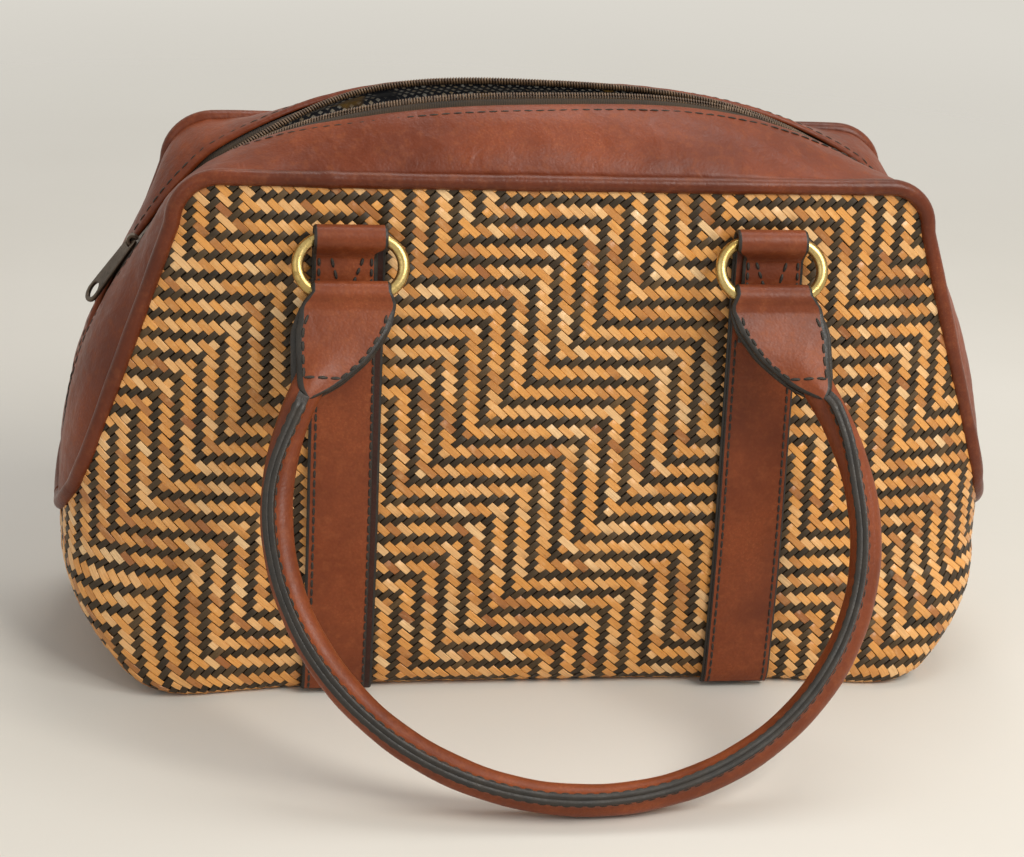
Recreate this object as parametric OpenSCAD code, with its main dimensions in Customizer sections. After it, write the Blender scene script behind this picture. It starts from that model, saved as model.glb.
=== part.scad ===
// Satchel plaited from cane strips, with leather gussets, straps, ring handles and a zip top.
// Origin: middle of the base, on the floor. +X is right, -Y is the front, +Z is up. Sizes in mm.

/* [Basket] */
// Width of the base over its corners
base_w = 317; // [300:1:330]
// Depth of the base over its corners
base_d = 139; // [132:1:146]
// Greatest width, at the belly
belly_w = 382; // [370:1:394]
// Height at which the flare of the sides ends
belly_z = 50; // [44:1:54]
// Height of the straight top edge of the two panels
panel_h = 208; // [204:1:214]
// Width of a panel at its top edge, before the corners are rounded
panel_top_w = 285; // [276:1:294]
// Depth between the two panels at the top edge
top_d = 85; // [82:1:90]
// Radius of the upper corners of a panel
corner_r = 18; // [12:1:20]
// Radius with which the walls turn under at the base
base_r = 9; // [8:0.5:12]
// How far the middle of the base edge is drawn in between the corners
base_bow = 9; // [0:0.5:10]
// How far the corners of the base stand out in front of the straight lean of the panels
corner_out = 9; // [0:0.5:10]
// Height over which the base edge comes straight again
bow_z = 80; // [70:1:80]
// Thickness of the plaited wall between the ridges
wall_t = 2.6; // [2:0.1:3]
// Height of the plaited ridges
ridge_h = 1.1; // [0.6:0.1:1.2]
// Length of a straight run of ridges before it turns, in grid steps
ridge_run = 6; // [4:2:8]

/* [Gussets] */
// Width of the leather gusset on each side
gusset_w = 80; // [76:1:80]
// Height of the rounded foot of the gusset
gusset_tip_z = 60; // [57:1:64]
// Thickness of the leather of gussets and top strips
leather_t = 2; // [1.6:0.1:2.2]
// How far the leather bulges, as a share of its width
leather_bulge = 0.1; // [0.06:0.01:0.12]
// Diameter of the leather piping along the seams
pipe_d = 6.4; // [5.4:0.1:6.6]

/* [Zip] */
// Height of the zip above the panels, in the middle of the mouth
zip_rise = 27; // [20:1:34]
// Greatest width of the open mouth
mouth_w = 32; // [18:1:36]
// Place of the widest part of the mouth, as a share of the way from the middle to the left shoulder
mouth_left = 0.5; // [0:0.05:0.6]
// How far inside the panel's edge the zip starts down over the shoulder
shoulder_in = 12.8; // [10:0.2:16]
// How far that shoulder lies below the top edge of the panels
shoulder_drop = 4; // [2:0.5:8]
// How far outside the panel's edge the straight run down the shoulder ends
foot_out = 6.1; // [4:0.1:8]
// How far the end of the straight run lies below the top edge of the panels
foot_drop = 43; // [40:1:46]
// Half distance between the two coils where the zip is closed
coil_y = 2.7; // [2.6:0.1:3]
// Diameter of a coil
coil_d = 3.2; // [2.8:0.1:3.4]
// Thickness of the zip tape
tape_t = 0.8; // [0.5:0.1:0.9]
// How far the leather stops short of the coil
tape_show = 6; // [5:0.5:7]
// How far the tape runs back from the coil, under the leather
tape_w = 11; // [9:0.5:13]

/* [Slider] */
// Length of the slider
slider_len = 14; // [12:0.5:15]
// Width of the slider plates
slider_w = 10; // [8.5:0.5:11]
// Thickness of a slider plate
slider_t = 1.4; // [1:0.1:1.6]
// Distance of the rest place of the slider from the foot of the straight run
slider_rest = 8; // [8:0.5:10]
// Length of the pull from its hinge
pull_len = 31; // [26:0.5:33]
// Width of the pull
pull_w = 10; // [9:0.5:11]
// Thickness of the pull
pull_t = 1.6; // [1.2:0.1:1.8]
// Diameter of the hinge bar of the pull
pull_bar_d = 1.8; // [1.6:0.1:2]
// Angle by which the hanging pull leans in from the line of the zip
pull_lean = 4; // [3:0.2:4.4]

/* [Straps] */
// Width of a strap
strap_w = 28; // [26:0.5:30]
// Thickness of the strap leather
strap_t = 2.4; // [2:0.1:2.6]
// Distance of the straps from the middle
strap_x = 82; // [78:1:88]
// Height of the ring axis in the strap loop
loop_z = 188; // [184:0.5:190]
// Length of the end that is folded down below the loop
fold_len = 40; // [30:1:50]

/* [Rings] */
// Outer width of an oval ring
ring_w = 45; // [44:0.5:48]
// Outer height of an oval ring
ring_h = 26; // [25:0.5:27]
// Diameter of the ring wire
wire_d = 4.6; // [4:0.1:4.8]
// Play between the wire and the leather that is rolled round it
run_gap = 0.3; // [0.3:0.05:0.4]
// Angle of the hanging ring out from upright
ring_tilt = 27; // [26:0.5:30]

/* [Handles] */
// Angle of the hanging handle out from upright
handle_lean = 31.8; // [31:0.2:33]
// Greatest width over the middle line of a handle
handle_w = 226; // [218:1:234]
// How far the bottom of a hanging handle has swung to the right
handle_side = 6; // [0:0.5:8]
// Diameter of the rolled tube
tube_d = 12; // [11:0.25:13]
// Width of the sewn fin along the tube
fin_w = 4.4; // [3.5:0.1:5]
// Height of the fin above the tube
fin_h = 4; // [3:0.25:5]
// Thickness of a handle tab, two layers of leather
tab_t = 5; // [4.4:0.1:5.2]
// Width of the tab where it rolls round the ring
tab_w = 30; // [28:0.5:31]
// Length of a tab from the ring to its tip
tab_len = 42; // [40:0.5:46]
// How far the tip of a tab stands outward of its roll
tab_splay = 18; // [16:0.5:19]

/* [Inside] */
// Thickness of the stiffening board in the base
board_t = 3; // [2:0.1:3.2]
// Thickness of the lining cloth
cloth_t = 0.8; // [0.6:0.1:1]
// How far the lining stands inside the outer faces
lining_in = 6; // [5.8:0.1:6.5]

/* [Fits] */
// Gap between pieces that are sewn or laid together
seat = 0.3; // [0.2:0.05:0.4]

/* [Hidden] */
$fn = 48;
eps = 0.01;
cols = 48;
low_rows = 8;
high_rows = 20;
in_cols = 24;
foot_in = wall_t + 0.4;
in_low = [foot_in, base_r * 0.6, base_r * 1.35, base_r * 2.8];
in_high = 10;
side_share = 0.33;
pipe_r = pipe_d / 2;
seam = pipe_r + seat;
round_r = gusset_w / 2;
round_z = gusset_tip_z + round_r;
side_z = gusset_tip_z + round_r * 0.375;
corner_z = panel_h - corner_r;
weave_foot = gusset_tip_z - 1.2 * seam;
weave_top = panel_h - seam;
u_side = 0.55;
u_corner = 0.68;
u_foot = 0.5;
u_shoulder = 0.7;
strip_n = 22;
strip_u = 0.092;
zip_n = 13;
u_zip = 1 - zip_n * (1 - strip_u) / strip_n;
coil_in = leather_t + seat + tape_t / 2;
plate_z = coil_d / 2 + 0.5;
bore_r = wire_d / 2 + run_gap;
loop_r = bore_r + strap_t;
tab_r = bore_r + tab_t / 2;
ring_c = (ring_h - wire_d) / 2;
ring_straight = ring_w - ring_h;
zip_top_z = panel_h + zip_rise;
shoulder_z = panel_h - shoulder_drop;
foot_z = panel_h - foot_drop;

function mix(a, b, t) = a + (b - a) * t;
function unit_range(t) = max(0, min(1, t));
function soft(t) = let (s = unit_range(t)) s * s * (3 - 2 * s);
function unit(v) = v / norm(v);

// Basket: straight lean of the panels, flare of the sides and turn under the base
function foot_fade(z) = pow(unit_range(1 - z / bow_z), 2);
function half_d(z) = mix(base_d, top_d, z / panel_h) / 2 + corner_out * foot_fade(z);
function tuck(z) = z >= base_r ? 0 : base_r - sqrt(pow(base_r, 2) - pow(base_r - z, 2));
function bow(z) = (base_bow + corner_out) * foot_fade(z);
function flare(z) = belly_w / 2 - (belly_w - base_w) / 2 * pow(unit_range(1 - z / belly_z), 1.8);
function edge_x(z) = mix(belly_w / 2 - 4, panel_top_w / 2, (z - side_z) / (panel_h - side_z));
function edge_wide(z) = edge_x(z) / pow(1 - pow(round_r / half_d(z), 4), 0.25);
function half_w(z) = let (low = round_z - round_r / 2)
    z < low ? flare(z) : mix(flare(z), edge_wide(z), unit_range((z - low) / (round_z - low)));
function power(z) = mix(9, 4, unit_range(z / belly_z));

// A point of the level section at height z; g runs along the front from middle to side middle
function section(z, g, a, b, dip) =
    let (n = power(z), m = abs(g), s = g < 0 ? -1 : 1)
    let (p = min(m, 1), q = m <= 1 ? 1 : max(0, (1 + side_share - m) / side_share))
    let (r = pow(pow(p, n) + pow(q, n), -1 / n))
    let (x = a * p * r, y = b * q * r)
    [s * x, -y * (1 - dip / b * (1 - pow(p * r, 4))), z];
// Level outward direction of the section at that place
function outward(z, g, a, b) =
    let (n = power(z), m = abs(g), s = g < 0 ? -1 : 1)
    let (p = min(m, 1), q = m <= 1 ? 1 : max(0, (1 + side_share - m) / side_share))
    unit([s * pow(p, n - 1) / a, -pow(q, n - 1) / b, 0]);
function skin(z, g, out) =
    let (a = half_w(z) - tuck(z), b = half_d(z) - tuck(z))
    section(z, g, a, b, bow(z)) + out * outward(z, g, a, b);

// Where the seam with the gusset cuts the section, as a value of g
function cut(y, b) =
    let (f = y / b, q = f / pow(1 - pow(f, 4), 0.25))
    q <= 1 ? 1 + side_share * (1 - q) : pow(pow(f, -4) - 1, 0.25);
function seam_y(z) = z >= round_z ? round_r
    : round_r * sqrt(1 - pow(1 - max(0, z - gusset_tip_z) / round_r, 2));
function weave_y(z) = z >= round_z ? round_r
    : round_r * sqrt(1 - pow(1 - max(0, z - weave_foot) / (round_z - weave_foot), 2));
function weave_corner(z) = z <= corner_z ? 0
    : corner_r - seam - sqrt(max(0, pow(corner_r - seam, 2) - pow(z - corner_z, 2)));
// The value of g that lies a length back from g along the section, round the corner at g = 1
function step_back(z, g, back) =
    let (run = norm(skin(z, max(g, 1), 0) - skin(z, 1, 0)), h = min(g, 1))
    run > back ? g - (g - 1) * back / run
    : h - (back - run) * 0.01 / norm(skin(z, h, 0) - skin(z, h - 0.01, 0));
function weave_edge(z) = step_back(z, cut(weave_y(z), half_d(z)),
    1.1 * seam * weave_y(z) / round_r + weave_corner(z));
function panel_y(x, z) = let (n = power(z), f = abs(x) / half_w(z))
    -half_d(z) * pow(1 - pow(f, n), 1 / n) + bow(z) * (1 - pow(f, 4));

// Piping line P and zip line Q of one half; u runs from the foot of the gusset to the middle of the top
function pipe_z(u) = mix(gusset_tip_z, corner_z, pow(u / u_side, 2));
function pipe_line(u) =
    u < u_side ? let (z = pipe_z(max(u, 0))) skin(z, cut(seam_y(z), half_d(z)), 0)
    : u < u_corner ? let (f = 90 * (u - u_side) / (u_corner - u_side))
        let (x = edge_x(corner_z) - corner_r * (1 - cos(f)), z = corner_z + corner_r * sin(f))
        [x, panel_y(x, z), z]
    : let (x = (edge_x(corner_z) - corner_r) * (1 - (u - u_corner) / (1 - u_corner)))
        [x, panel_y(x, panel_h), panel_h];
shoulder_x = edge_x(shoulder_z) - shoulder_in;
foot_x = edge_x(foot_z) + foot_out;
zip_angle = atan2(shoulder_z - foot_z, foot_x - shoulder_x);
function side_x(z) = belly_w / 2 - 1
    - (belly_w / 2 - 1 - foot_x) * pow(unit_range((z - side_z) / (foot_z - side_z)), 2.3);
// How far the mouth is open, from 0 to 1; w runs from the left shoulder at -1 to the right one at 1
function mouth(w) = soft(w < -mouth_left ? (1 + w) / (1 - mouth_left) : (1 - w) / (1 + mouth_left));
function zip_half(u, s) = u < u_shoulder ? mix(0.2, coil_y, soft((u - u_zip + 0.05) / 0.04))
    : mix(coil_y, mouth_w / 2, mouth(s * (1 - u) / (1 - u_shoulder)));
function zip_line(u, s) = let (y = -zip_half(u, s))
    u < u_foot ? let (z = mix(gusset_tip_z, foot_z, pow(max(u, 0) / u_foot, 2))) [side_x(z), y, z]
    : u < u_shoulder ? let (t = (u - u_foot) / (u_shoulder - u_foot))
        [mix(foot_x, shoulder_x, t), y, mix(foot_z, shoulder_z, t)]
    : let (x = shoulder_x * (1 - (u - u_shoulder) / (1 - u_shoulder)))
        [x, y, mix(zip_top_z, shoulder_z, pow(abs(x) / shoulder_x, 3))];
function across(u, s) = zip_line(u, s) - pipe_line(u);
function lift(u, s) = unit(cross(across(u, s),
    pipe_line(u + 0.02) + zip_line(u + 0.02, s) - pipe_line(u - 0.02) - zip_line(u - 0.02, s)));
// A point on the outer face of the leather, v from piping to zip, set in by a depth; s is the side
function leather(u, s, v, depth) =
    let (d = across(u, s), n = lift(u, s))
    flip(s, pipe_line(u) + v * d + n * (4 * v * (1 - v) * leather_bulge * norm(d) - depth));
// Distance from the piping's middle line at which the leather starts, longer round the foot
function leather_from(u) = let (z = pipe_z(min(u, u_side)))
    z >= round_z ? seam
    : seam_y(z) - sqrt(max(0, pow(round_r - seam, 2) - pow(round_z - z, 2)));
function zip_gap(u) = mix(2 * seat, tape_show, soft((u - u_zip + 0.06) / 0.05));

// Stations of a strip from the left foot over the top to the right foot, and their mirroring
function stations(n, u0) = [for (k = [-n:n]) [k < 0 ? -1 : 1, 1 - abs(k) / n * (1 - u0)]];
pipe_stations = concat([for (f = [0.1, 0.5]) [-1, f * strip_u]], stations(strip_n, strip_u),
    [for (f = [0.5, 0.1]) [1, f * strip_u]]);
function flip(s, p) = [s * p[0], p[1], p[2]];
// A loop of the tube round point c that faces along t
function hoop(c, t, r, n, roll) =
    let (a = unit(cross(t, [0.2, 1, 0.1])), b = unit(cross(t, a)))
    [for (i = [0:n - 1]) c + r * (cos(360 * i / n + roll) * a + sin(360 * i / n + roll) * b)];

// A solid through a list of loops with equal numbers of points
module sweep(loops) {
    m = len(loops[0]);
    n = len(loops);
    points = [for (l = loops) for (p = l) p];
    sides = [for (k = [0:n - 2]) for (i = [0:m - 1])
        let (a = k * m + i, b = k * m + (i + 1) % m)
        each [[a, b, b + m], [a, b + m, a + m]]];
    caps = [for (i = [0:m / 2 - 2])
        let (e = (n - 1) * m)
        each [[m - 1 - i, i + 1, i], [m - 1 - i, m - 2 - i, i + 1],
              [e + i, e + i + 1, e + m - 1 - i], [e + i + 1, e + m - 2 - i, e + m - 1 - i]]];
    polyhedron(points, concat(sides, caps), convexity = 10);
}

// Ridges of the plaiting: level runs and upright runs that meet on rising diagonals
function ridge(i, j) =
    let (band = floor((i - j + 40 * ridge_run) / ridge_run) % 2)
    (band == 0 ? j % 2 : i % 2) == 0 ? ridge_h : 0;
function ring_g(k, n) = (1 + side_share) * (k <= n ? 2 * k / n - 1 : 1 - 2 * (k - n) / n);
function turn(s, p) = s == 0 ? p : [-p[0], -p[1], p[2]];
function low_z(j) = j == 0 ? 0 : j == 1 ? base_r * 0.3 : mix(base_r, weave_foot, (j - 2) / (low_rows - 2));

// One basket wall: rows of whole rings below, then a front and a back sheet
function ring_rows(zs, n, out) = [for (j = [0:len(zs) - 1]) for (k = [0:2 * n - 1])
    let (s = k < n ? 0 : 1, i = k % n, g = (1 + side_share) * (2 * i / n - 1))
    turn(s, skin(zs[j], g, j == 0 ? min(out, 0) : out + (out < 0 ? 0 : ridge(i, j))))];
// Rows of a sheet lie closer at the round foot of the gusset and at the upper corners
function row_z(t) = mix(weave_foot, weave_top, mix(t, soft(t), 0.7));
function sheet_rows(rows, n, out) = [for (j = [1:rows]) for (s = [0, 1]) for (i = [0:n])
    let (z = row_z(j / rows))
    turn(s, skin(z, weave_edge(z) * (2 * i / n - 1), out + (out < 0 ? 0 : ridge(i, j + low_rows))))];
// Number of a point: s is the sheet, j the row, i the column
function spot(s, j, i, low, n) = j <= low ? j * 2 * n + (s * n + i) % (2 * n)
    : (low + 1) * 2 * n + (j - low - 1) * 2 * (n + 1) + s * (n + 1) + i;
function wall_faces(rows, low, n, from, out) = [for (s = [0, 1]) for (j = [0:rows - 1]) for (i = [0:n - 1])
    let (a = from + spot(s, j, i, low, n), b = from + spot(s, j, i + 1, low, n))
    let (c = from + spot(s, j + 1, i + 1, low, n), d = from + spot(s, j + 1, i, low, n))
    each (out ? [[a, c, b], [a, d, c]] : [[a, b, c], [a, c, d]])];
// Faces between a fine row of points and a coarse row that has one step to each f fine ones
function bridge(fine, coarse, back) =
    let (f = (len(fine) - 1) / (len(coarse) - 1), h = floor(f / 2))
    [for (t = concat(
        [for (i = [0:len(fine) - 2]) [fine[i], fine[i + 1], coarse[floor((i + f - h) / f)]]],
        [for (k = [0:len(coarse) - 2]) [coarse[k + 1], coarse[k], fine[k * f + h]]]))
        back ? [t[0], t[2], t[1]] : t];

module woven_body() {
    rows = low_rows + high_rows;
    in_l = len(in_low);
    in_rows = in_l + in_high;
    outer = concat(ring_rows([for (j = [0:low_rows]) low_z(j)], cols, 0), sheet_rows(high_rows, cols, 0));
    inner = concat(ring_rows(concat(in_low, [weave_foot]), in_cols, -wall_t),
        sheet_rows(in_high, in_cols, -wall_t));
    o = len(outer);
    bottom = [for (k = [1:2 * cols - 2]) [0, k, k + 1]];
    floor_in = [for (k = [1:2 * in_cols - 2]) [o, o + k + 1, o + k]];
    rims = [for (s = [0, 1]) each concat(
        bridge([for (i = [0:cols]) spot(s, rows, i, low_rows, cols)],
            [for (i = [0:in_cols]) o + spot(s, in_rows, i, in_l, in_cols)], true),
        bridge([for (j = [low_rows:rows]) spot(s, j, 0, low_rows, cols)],
            [for (j = [in_l:in_rows]) o + spot(s, j, 0, in_l, in_cols)], true),
        bridge([for (j = [low_rows:rows]) spot(s, j, cols, low_rows, cols)],
            [for (j = [in_l:in_rows]) o + spot(s, j, in_cols, in_l, in_cols)], false))];
    color("#a8743c")
        polyhedron(concat(outer, inner), concat(bottom, floor_in, rims,
            wall_faces(rows, low_rows, cols, 0, true),
            wall_faces(in_rows, in_l, in_cols, o, false)), convexity = 12);
}

module base_board() {
    w = base_w - 2 * base_r - 16;
    d = base_d - 2 * base_r - 2 * base_bow - 12;
    r = 12;
    color("#6b5a48") translate([0, 0, foot_in + seat]) {
        translate([-w / 2 + r, -d / 2, 0]) cube([w - 2 * r, d, board_t]);
        translate([-w / 2, -d / 2 + r, 0]) cube([w, d - 2 * r, board_t]);
        for (x = [-1, 1], y = [-1, 1])
            translate([x * (w / 2 - r), y * (d / 2 - r), 0]) cylinder(r = r, h = board_t);
    }
}

// The lining keeps clear of the slider where the zip runs down the shoulder
slider_deep = (coil_in + plate_z + slider_t + 2 * seat) / sin(zip_angle);
function lining_w(z) = min(half_w(z), lining_in - slider_deep + (z < foot_z ? side_x(z)
    : mix(foot_x, shoulder_x, (z - foot_z) / (shoulder_z - foot_z))));
function lining_ring(z, in, n) = [for (k = [0:2 * n - 1])
    let (s = k < n ? 0 : 1, g = (1 + side_share) * (2 * (k % n) / n - 1))
    turn(s, section(z, g, lining_w(z) - tuck(z) - in, half_d(z) - tuck(z) - in, bow(z)))];

module lining() {
    n = 12;
    foot = foot_in + board_t + 2 * seat;
    zs = [foot, base_r * 1.5, mix(base_r, gusset_tip_z, 0.45), gusset_tip_z, round_z,
        mix(round_z, foot_z, 0.77), panel_h - lining_in];
    rings = concat(
        [for (z = zs) lining_ring(z, lining_in, n)],
        [for (j = [len(zs) - 1:-1:0]) let (up = j == 0 ? cloth_t : 0)
            [for (p = lining_ring(zs[j], lining_in + cloth_t, n)) p + [0, 0, up]]]);
    m = 2 * n;
    e = len(rings);
    points = [for (r = rings) for (p = r) p];
    sides = [for (k = [0:e - 2]) for (i = [0:m - 1])
        let (a = k * m + i, b = k * m + (i + 1) % m)
        each [[a, b + m, b], [a, a + m, b + m]]];
    ends = [for (k = [1:m - 2]) each [[0, k, k + 1], [(e - 1) * m, (e - 1) * m + k + 1, (e - 1) * m + k]]];
    color("#2d3038") polyhedron(points, concat(sides, ends), convexity = 12);
}

// Leather between the piping and the zip: gusset on both sides and the top strip in one piece
module front_gusset() {
    steps = 3;
    loops = [for (t = stations(strip_n, strip_u))
        let (s = t[0], u = t[1], l = norm(across(u, s)), a = leather_from(u) / l, b = 1 - zip_gap(u) / l)
        [for (i = [0:2 * steps + 1])
            let (k = i <= steps ? i : 2 * steps + 1 - i)
            leather(u, s, mix(a, b, k / steps), i <= steps ? 0 : leather_t)]];
    color("#87482f") sweep(loops);
}

module back_gusset() {
    mirror([0, 1, 0]) front_gusset();
}

module front_piping() {
    loops = [for (t = pipe_stations)
        let (u = t[1], c = pipe_line(u))
        let (d = pipe_line(min(1, u + 0.015)) - pipe_line(u - 0.015))
        hoop(flip(t[0], c), u == 1 ? [1, 0, 0] : -t[0] * flip(t[0], d), pipe_r, 6, 0)];
    color("#733b27") sweep(loops);
}

module back_piping() {
    mirror([0, 1, 0]) front_piping();
}

module zip_tape_front() {
    loops = [for (t = stations(zip_n, u_zip))
        let (s = t[0], u = t[1], l = norm(across(u, s)), a = 1 - tape_w / l, b = 1 - (coil_d / 2 + seat) / l)
        [for (i = [0:3])
            let (under = i == 0 || i == 3)
            leather(u, s, under ? a : b, leather_t + (under ? 4 : 1) * seat + (i < 2 ? 0 : tape_t))]];
    color("#463a28") sweep(loops);
}

module zip_tape_back() {
    mirror([0, 1, 0]) zip_tape_front();
}

module zip_coil_front() {
    loops = [for (t = stations(zip_n, u_zip))
        let (s = t[0], u = t[1], d = leather(u + 0.01, s, 1, coil_in) - leather(u - 0.01, s, 1, coil_in))
        hoop(leather(u, s, 1, coil_in), -s * d, coil_d / 2, 6, 0)];
    color("#5c4636") sweep(loops);
}

module zip_coil_back() {
    mirror([0, 1, 0]) zip_coil_front();
}

// Frame of the slider: X up the zip, Z out of the leather, at its rest place on the left shoulder
module at_slider() {
    t = slider_rest;
    translate([-foot_x + t * cos(zip_angle), 0, foot_z + t * sin(zip_angle)])
        rotate([0, -zip_angle, 0]) translate([0, 0, -coil_in]) children();
}
bar_z = plate_z + slider_t + pull_bar_d / 2 + 0.8;
bar_x = -slider_len / 2 + 2.4;

module zip_slider() {
    bridge_r = pull_bar_d / 2 + 0.35;
    bridge_t = 1.2;
    color("#4b423b") at_slider() {
        for (z = [plate_z, -plate_z - slider_t])
            translate([-slider_len / 2, -slider_w / 2, z]) cube([slider_len, slider_w, slider_t]);
        translate([slider_len / 2 - 4, -0.5, -plate_z - eps]) cube([4, 1, 2 * plate_z + 2 * eps]);
        difference() {
            translate([bar_x, 1.5, bar_z]) rotate([90, 0, 0]) cylinder(r = bridge_r + bridge_t, h = 3);
            translate([bar_x, 2.5, bar_z]) rotate([90, 0, 0]) cylinder(r = bridge_r, h = 5);
            translate([bar_x - 5, -2.5, plate_z - 4 + slider_t / 2]) cube([10, 5, 4]);
        }
    }
}

// The pull hangs from a bar through the bridge; its plate has a slot above and a round hole at the tip
module zip_pull() {
    arm = 3;
    slot_w = 4.2;
    tip_r = pull_w / 2;
    color("#4b423b") at_slider() translate([bar_x, 0, bar_z])
        rotate([0, 180 - pull_lean, 0]) {
            rotate([90, 0, 0]) cylinder(d = pull_bar_d, h = pull_w - 1, center = true);
            difference() {
                union() {
                    translate([-pull_t / 2, -pull_w / 2, -pull_t / 2])
                        cube([pull_len - tip_r + pull_t / 2, pull_w, pull_t]);
                    translate([pull_len - tip_r, 0, -pull_t / 2]) cylinder(r = tip_r, h = pull_t);
                }
                translate([-pull_t, -slot_w / 2, -pull_t]) cube([pull_t + arm, slot_w, 2 * pull_t]);
                translate([pull_len - tip_r - 0.6, 0, -pull_t]) cylinder(d = 4, h = 2 * pull_t);
                translate([8, -1.6, -pull_t]) cube([4.5, 3.2, 2 * pull_t]);
            }
        }
}

// Straps: back face of the leather at height z, clear of the ridges over the strap's width
function strap_back(z) = min([for (s = [-1, 1]) panel_y(strap_x + s * strap_w / 2, z)]) - ridge_h - seat;
loop_y = strap_back(loop_z) - loop_r;

// A trumpet-ended bore along X for the straight and the bends of a ring
module bore(w, r_end) {
    half = ring_straight / 2 - 0.5;
    rotate([0, 90, 0]) cylinder(r = bore_r, h = w + 2, center = true);
    for (s = [-1, 1]) translate([s * half, 0, 0]) rotate([0, s * 90, 0])
        cylinder(r1 = bore_r, r2 = r_end, h = w / 2 + 1 - half);
}

module strap(s) {
    zs = [base_r, base_r * 2, bow_z * 0.5, bow_z * 0.75, bow_z, loop_z];
    fold_z = loop_z - fold_len;
    back = [for (z = zs) [strap_back(z), z]];
    front = [for (i = [len(zs) - 1:-1:0]) [strap_back(zs[i]) - strap_t, zs[i]]];
    y0 = strap_back(base_r);
    tail_r = base_r + ridge_h + seat;
    color("#7d432c") translate([s * strap_x, 0, 0]) difference() {
        union() {
            rotate([90, 0, 90]) linear_extrude(strap_w, center = true) polygon(concat(back, front));
            rotate([90, 0, 90]) linear_extrude(strap_w, center = true)
                polygon([for (e = [[1, fold_z], [1, loop_z], [2, loop_z], [2, fold_z]])
                    [strap_back(e[1]) - e[0] * strap_t + (2 - e[0]) * eps, e[1]]]);
            translate([0, loop_y, loop_z]) rotate([0, 90, 0])
                cylinder(r = loop_r, h = strap_w, center = true);
            translate([0, y0 + tail_r, base_r]) rotate([90, 0, 90]) rotate([0, 0, 180])
                rotate_extrude(angle = 40) translate([tail_r, -strap_w / 2]) square([strap_t, strap_w]);
        }
        translate([0, loop_y, loop_z]) bore(strap_w, wire_d / 2 + 2.1);
    }
}

module front_strap_left() {
    strap(-1);
}

module front_strap_right() {
    strap(1);
}

module back_strap_left() {
    mirror([0, 1, 0]) strap(-1);
}

module back_strap_right() {
    mirror([0, 1, 0]) strap(1);
}

// Oval ring of round wire; Y runs down from the bar in the strap to the bar in the handle tab
module ring(s) {
    color("#a8873f") translate([s * strap_x, loop_y, loop_z]) rotate([-90 - ring_tilt, 0, 0]) {
        for (y = [0, 2 * ring_c]) translate([0, y, 0]) rotate([0, 90, 0])
            cylinder(d = wire_d, h = ring_straight, center = true);
        for (e = [-1, 1]) translate([e * ring_straight / 2, ring_c, 0]) rotate([0, 0, -e * 90])
            rotate_extrude(angle = 180) translate([ring_c, 0]) circle(d = wire_d);
    }
}

module front_ring_left() {
    ring(-1);
}

module front_ring_right() {
    ring(1);
}

module back_ring_left() {
    mirror([0, 1, 0]) ring(-1);
}

module back_ring_right() {
    mirror([0, 1, 0]) ring(1);
}

// Handle, drawn flat: X across, Y down from the ring bars, the fin toward -Z
pivot_y = loop_y - 2 * ring_c * sin(ring_tilt);
pivot_z = loop_z - 2 * ring_c * cos(ring_tilt);
handle_len = (pivot_z - tube_d / 2 - seat) / cos(handle_lean);
tip_x = strap_x + tab_splay;
tip_y = tab_len - 4;
wide_y = handle_len * 0.46;
function bend_line(t) = t < 0.25
    ? let (f = 1 - t / 0.25) [handle_w / 2 - (handle_w / 2 - tip_x) * f * f, mix(wide_y, tip_y, f), 0]
    : let (a = 120 * (t - 0.25)) [handle_w / 2 * cos(a), wide_y + (handle_len - wide_y) * sin(a), 0];

module handle() {
    r = tube_d / 2;
    w = fin_w / 2;
    shoulder = sqrt(r * r - w * w);
    arc = [for (a = [52, 90, 130, 165]) [r * sin(a), -r * cos(a)]];
    half = concat([[w, -r - fin_h], [w, -shoulder]], arc);
    outline = concat(half, [for (i = [len(half) - 1:-1:0]) [-half[i][0], half[i][1]]]);
    n = 14;
    loops = [for (k = [-n:n])
        let (t = 1 - abs(k) / n, s = k < 0 ? -1 : 1, p = bend_line(t))
        let (d = k == 0 ? [-1, 0, 0] : unit(bend_line(t + 0.01) - bend_line(t - 0.01)), b = [d[1], -d[0], 0])
        let (side = [handle_side * (p[1] - tip_y) / (handle_len - tip_y), 0, 0])
        [for (o = outline) flip(s, p - o[0] * b + [0, 0, o[1]]) + side]];
    h = tab_w / 2;
    tab = [[-h, 0], [h, 0], [h + 4, 4], [h + 8, tab_len / 3], [h + 8, tab_len * 0.6],
        [tab_splay + 5, tab_len - 6], [tab_splay + 1, tab_len - 1], [tab_splay - 4, tab_len - 2],
        [tab_splay - 13, tab_len - 6], [-h / 2, tab_len * 0.6], [-h, tab_len / 3], [-h - 2.5, 4]];
    translate([0, pivot_y, pivot_z]) rotate([-90 - handle_lean, 0, 0]) {
        sweep(loops);
        for (s = [-1, 1]) scale([s, 1, 1]) translate([strap_x, 0, 0]) difference() {
            union() {
                linear_extrude(tab_t, center = true) polygon(tab);
                rotate([0, 90, 0]) cylinder(r = tab_r, h = tab_w, center = true);
            }
            bore(tab_w, wire_d / 2 + 2.4);
        }
    }
}

module front_handle() {
    color("#7d432c") handle();
}

module back_handle() {
    color("#7d432c") mirror([0, 1, 0]) handle();
}

woven_body();
base_board();
lining();
front_gusset();
back_gusset();
front_piping();
back_piping();
zip_tape_front();
zip_tape_back();
zip_coil_front();
zip_coil_back();
zip_slider();
zip_pull();
front_strap_left();
front_strap_right();
back_strap_left();
back_strap_right();
front_ring_left();
front_ring_right();
back_ring_left();
back_ring_right();
front_handle();
back_handle();
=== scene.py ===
"""Looks of the plaited satchel: weave, leather, zip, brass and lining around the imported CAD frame.

Lengths are in millimetres until a mesh is made, in the frame of the CAD: +X right, -Y front, +Z up.
"""
import math

import bpy
import numpy as np
from mathutils import Matrix, Vector


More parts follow.
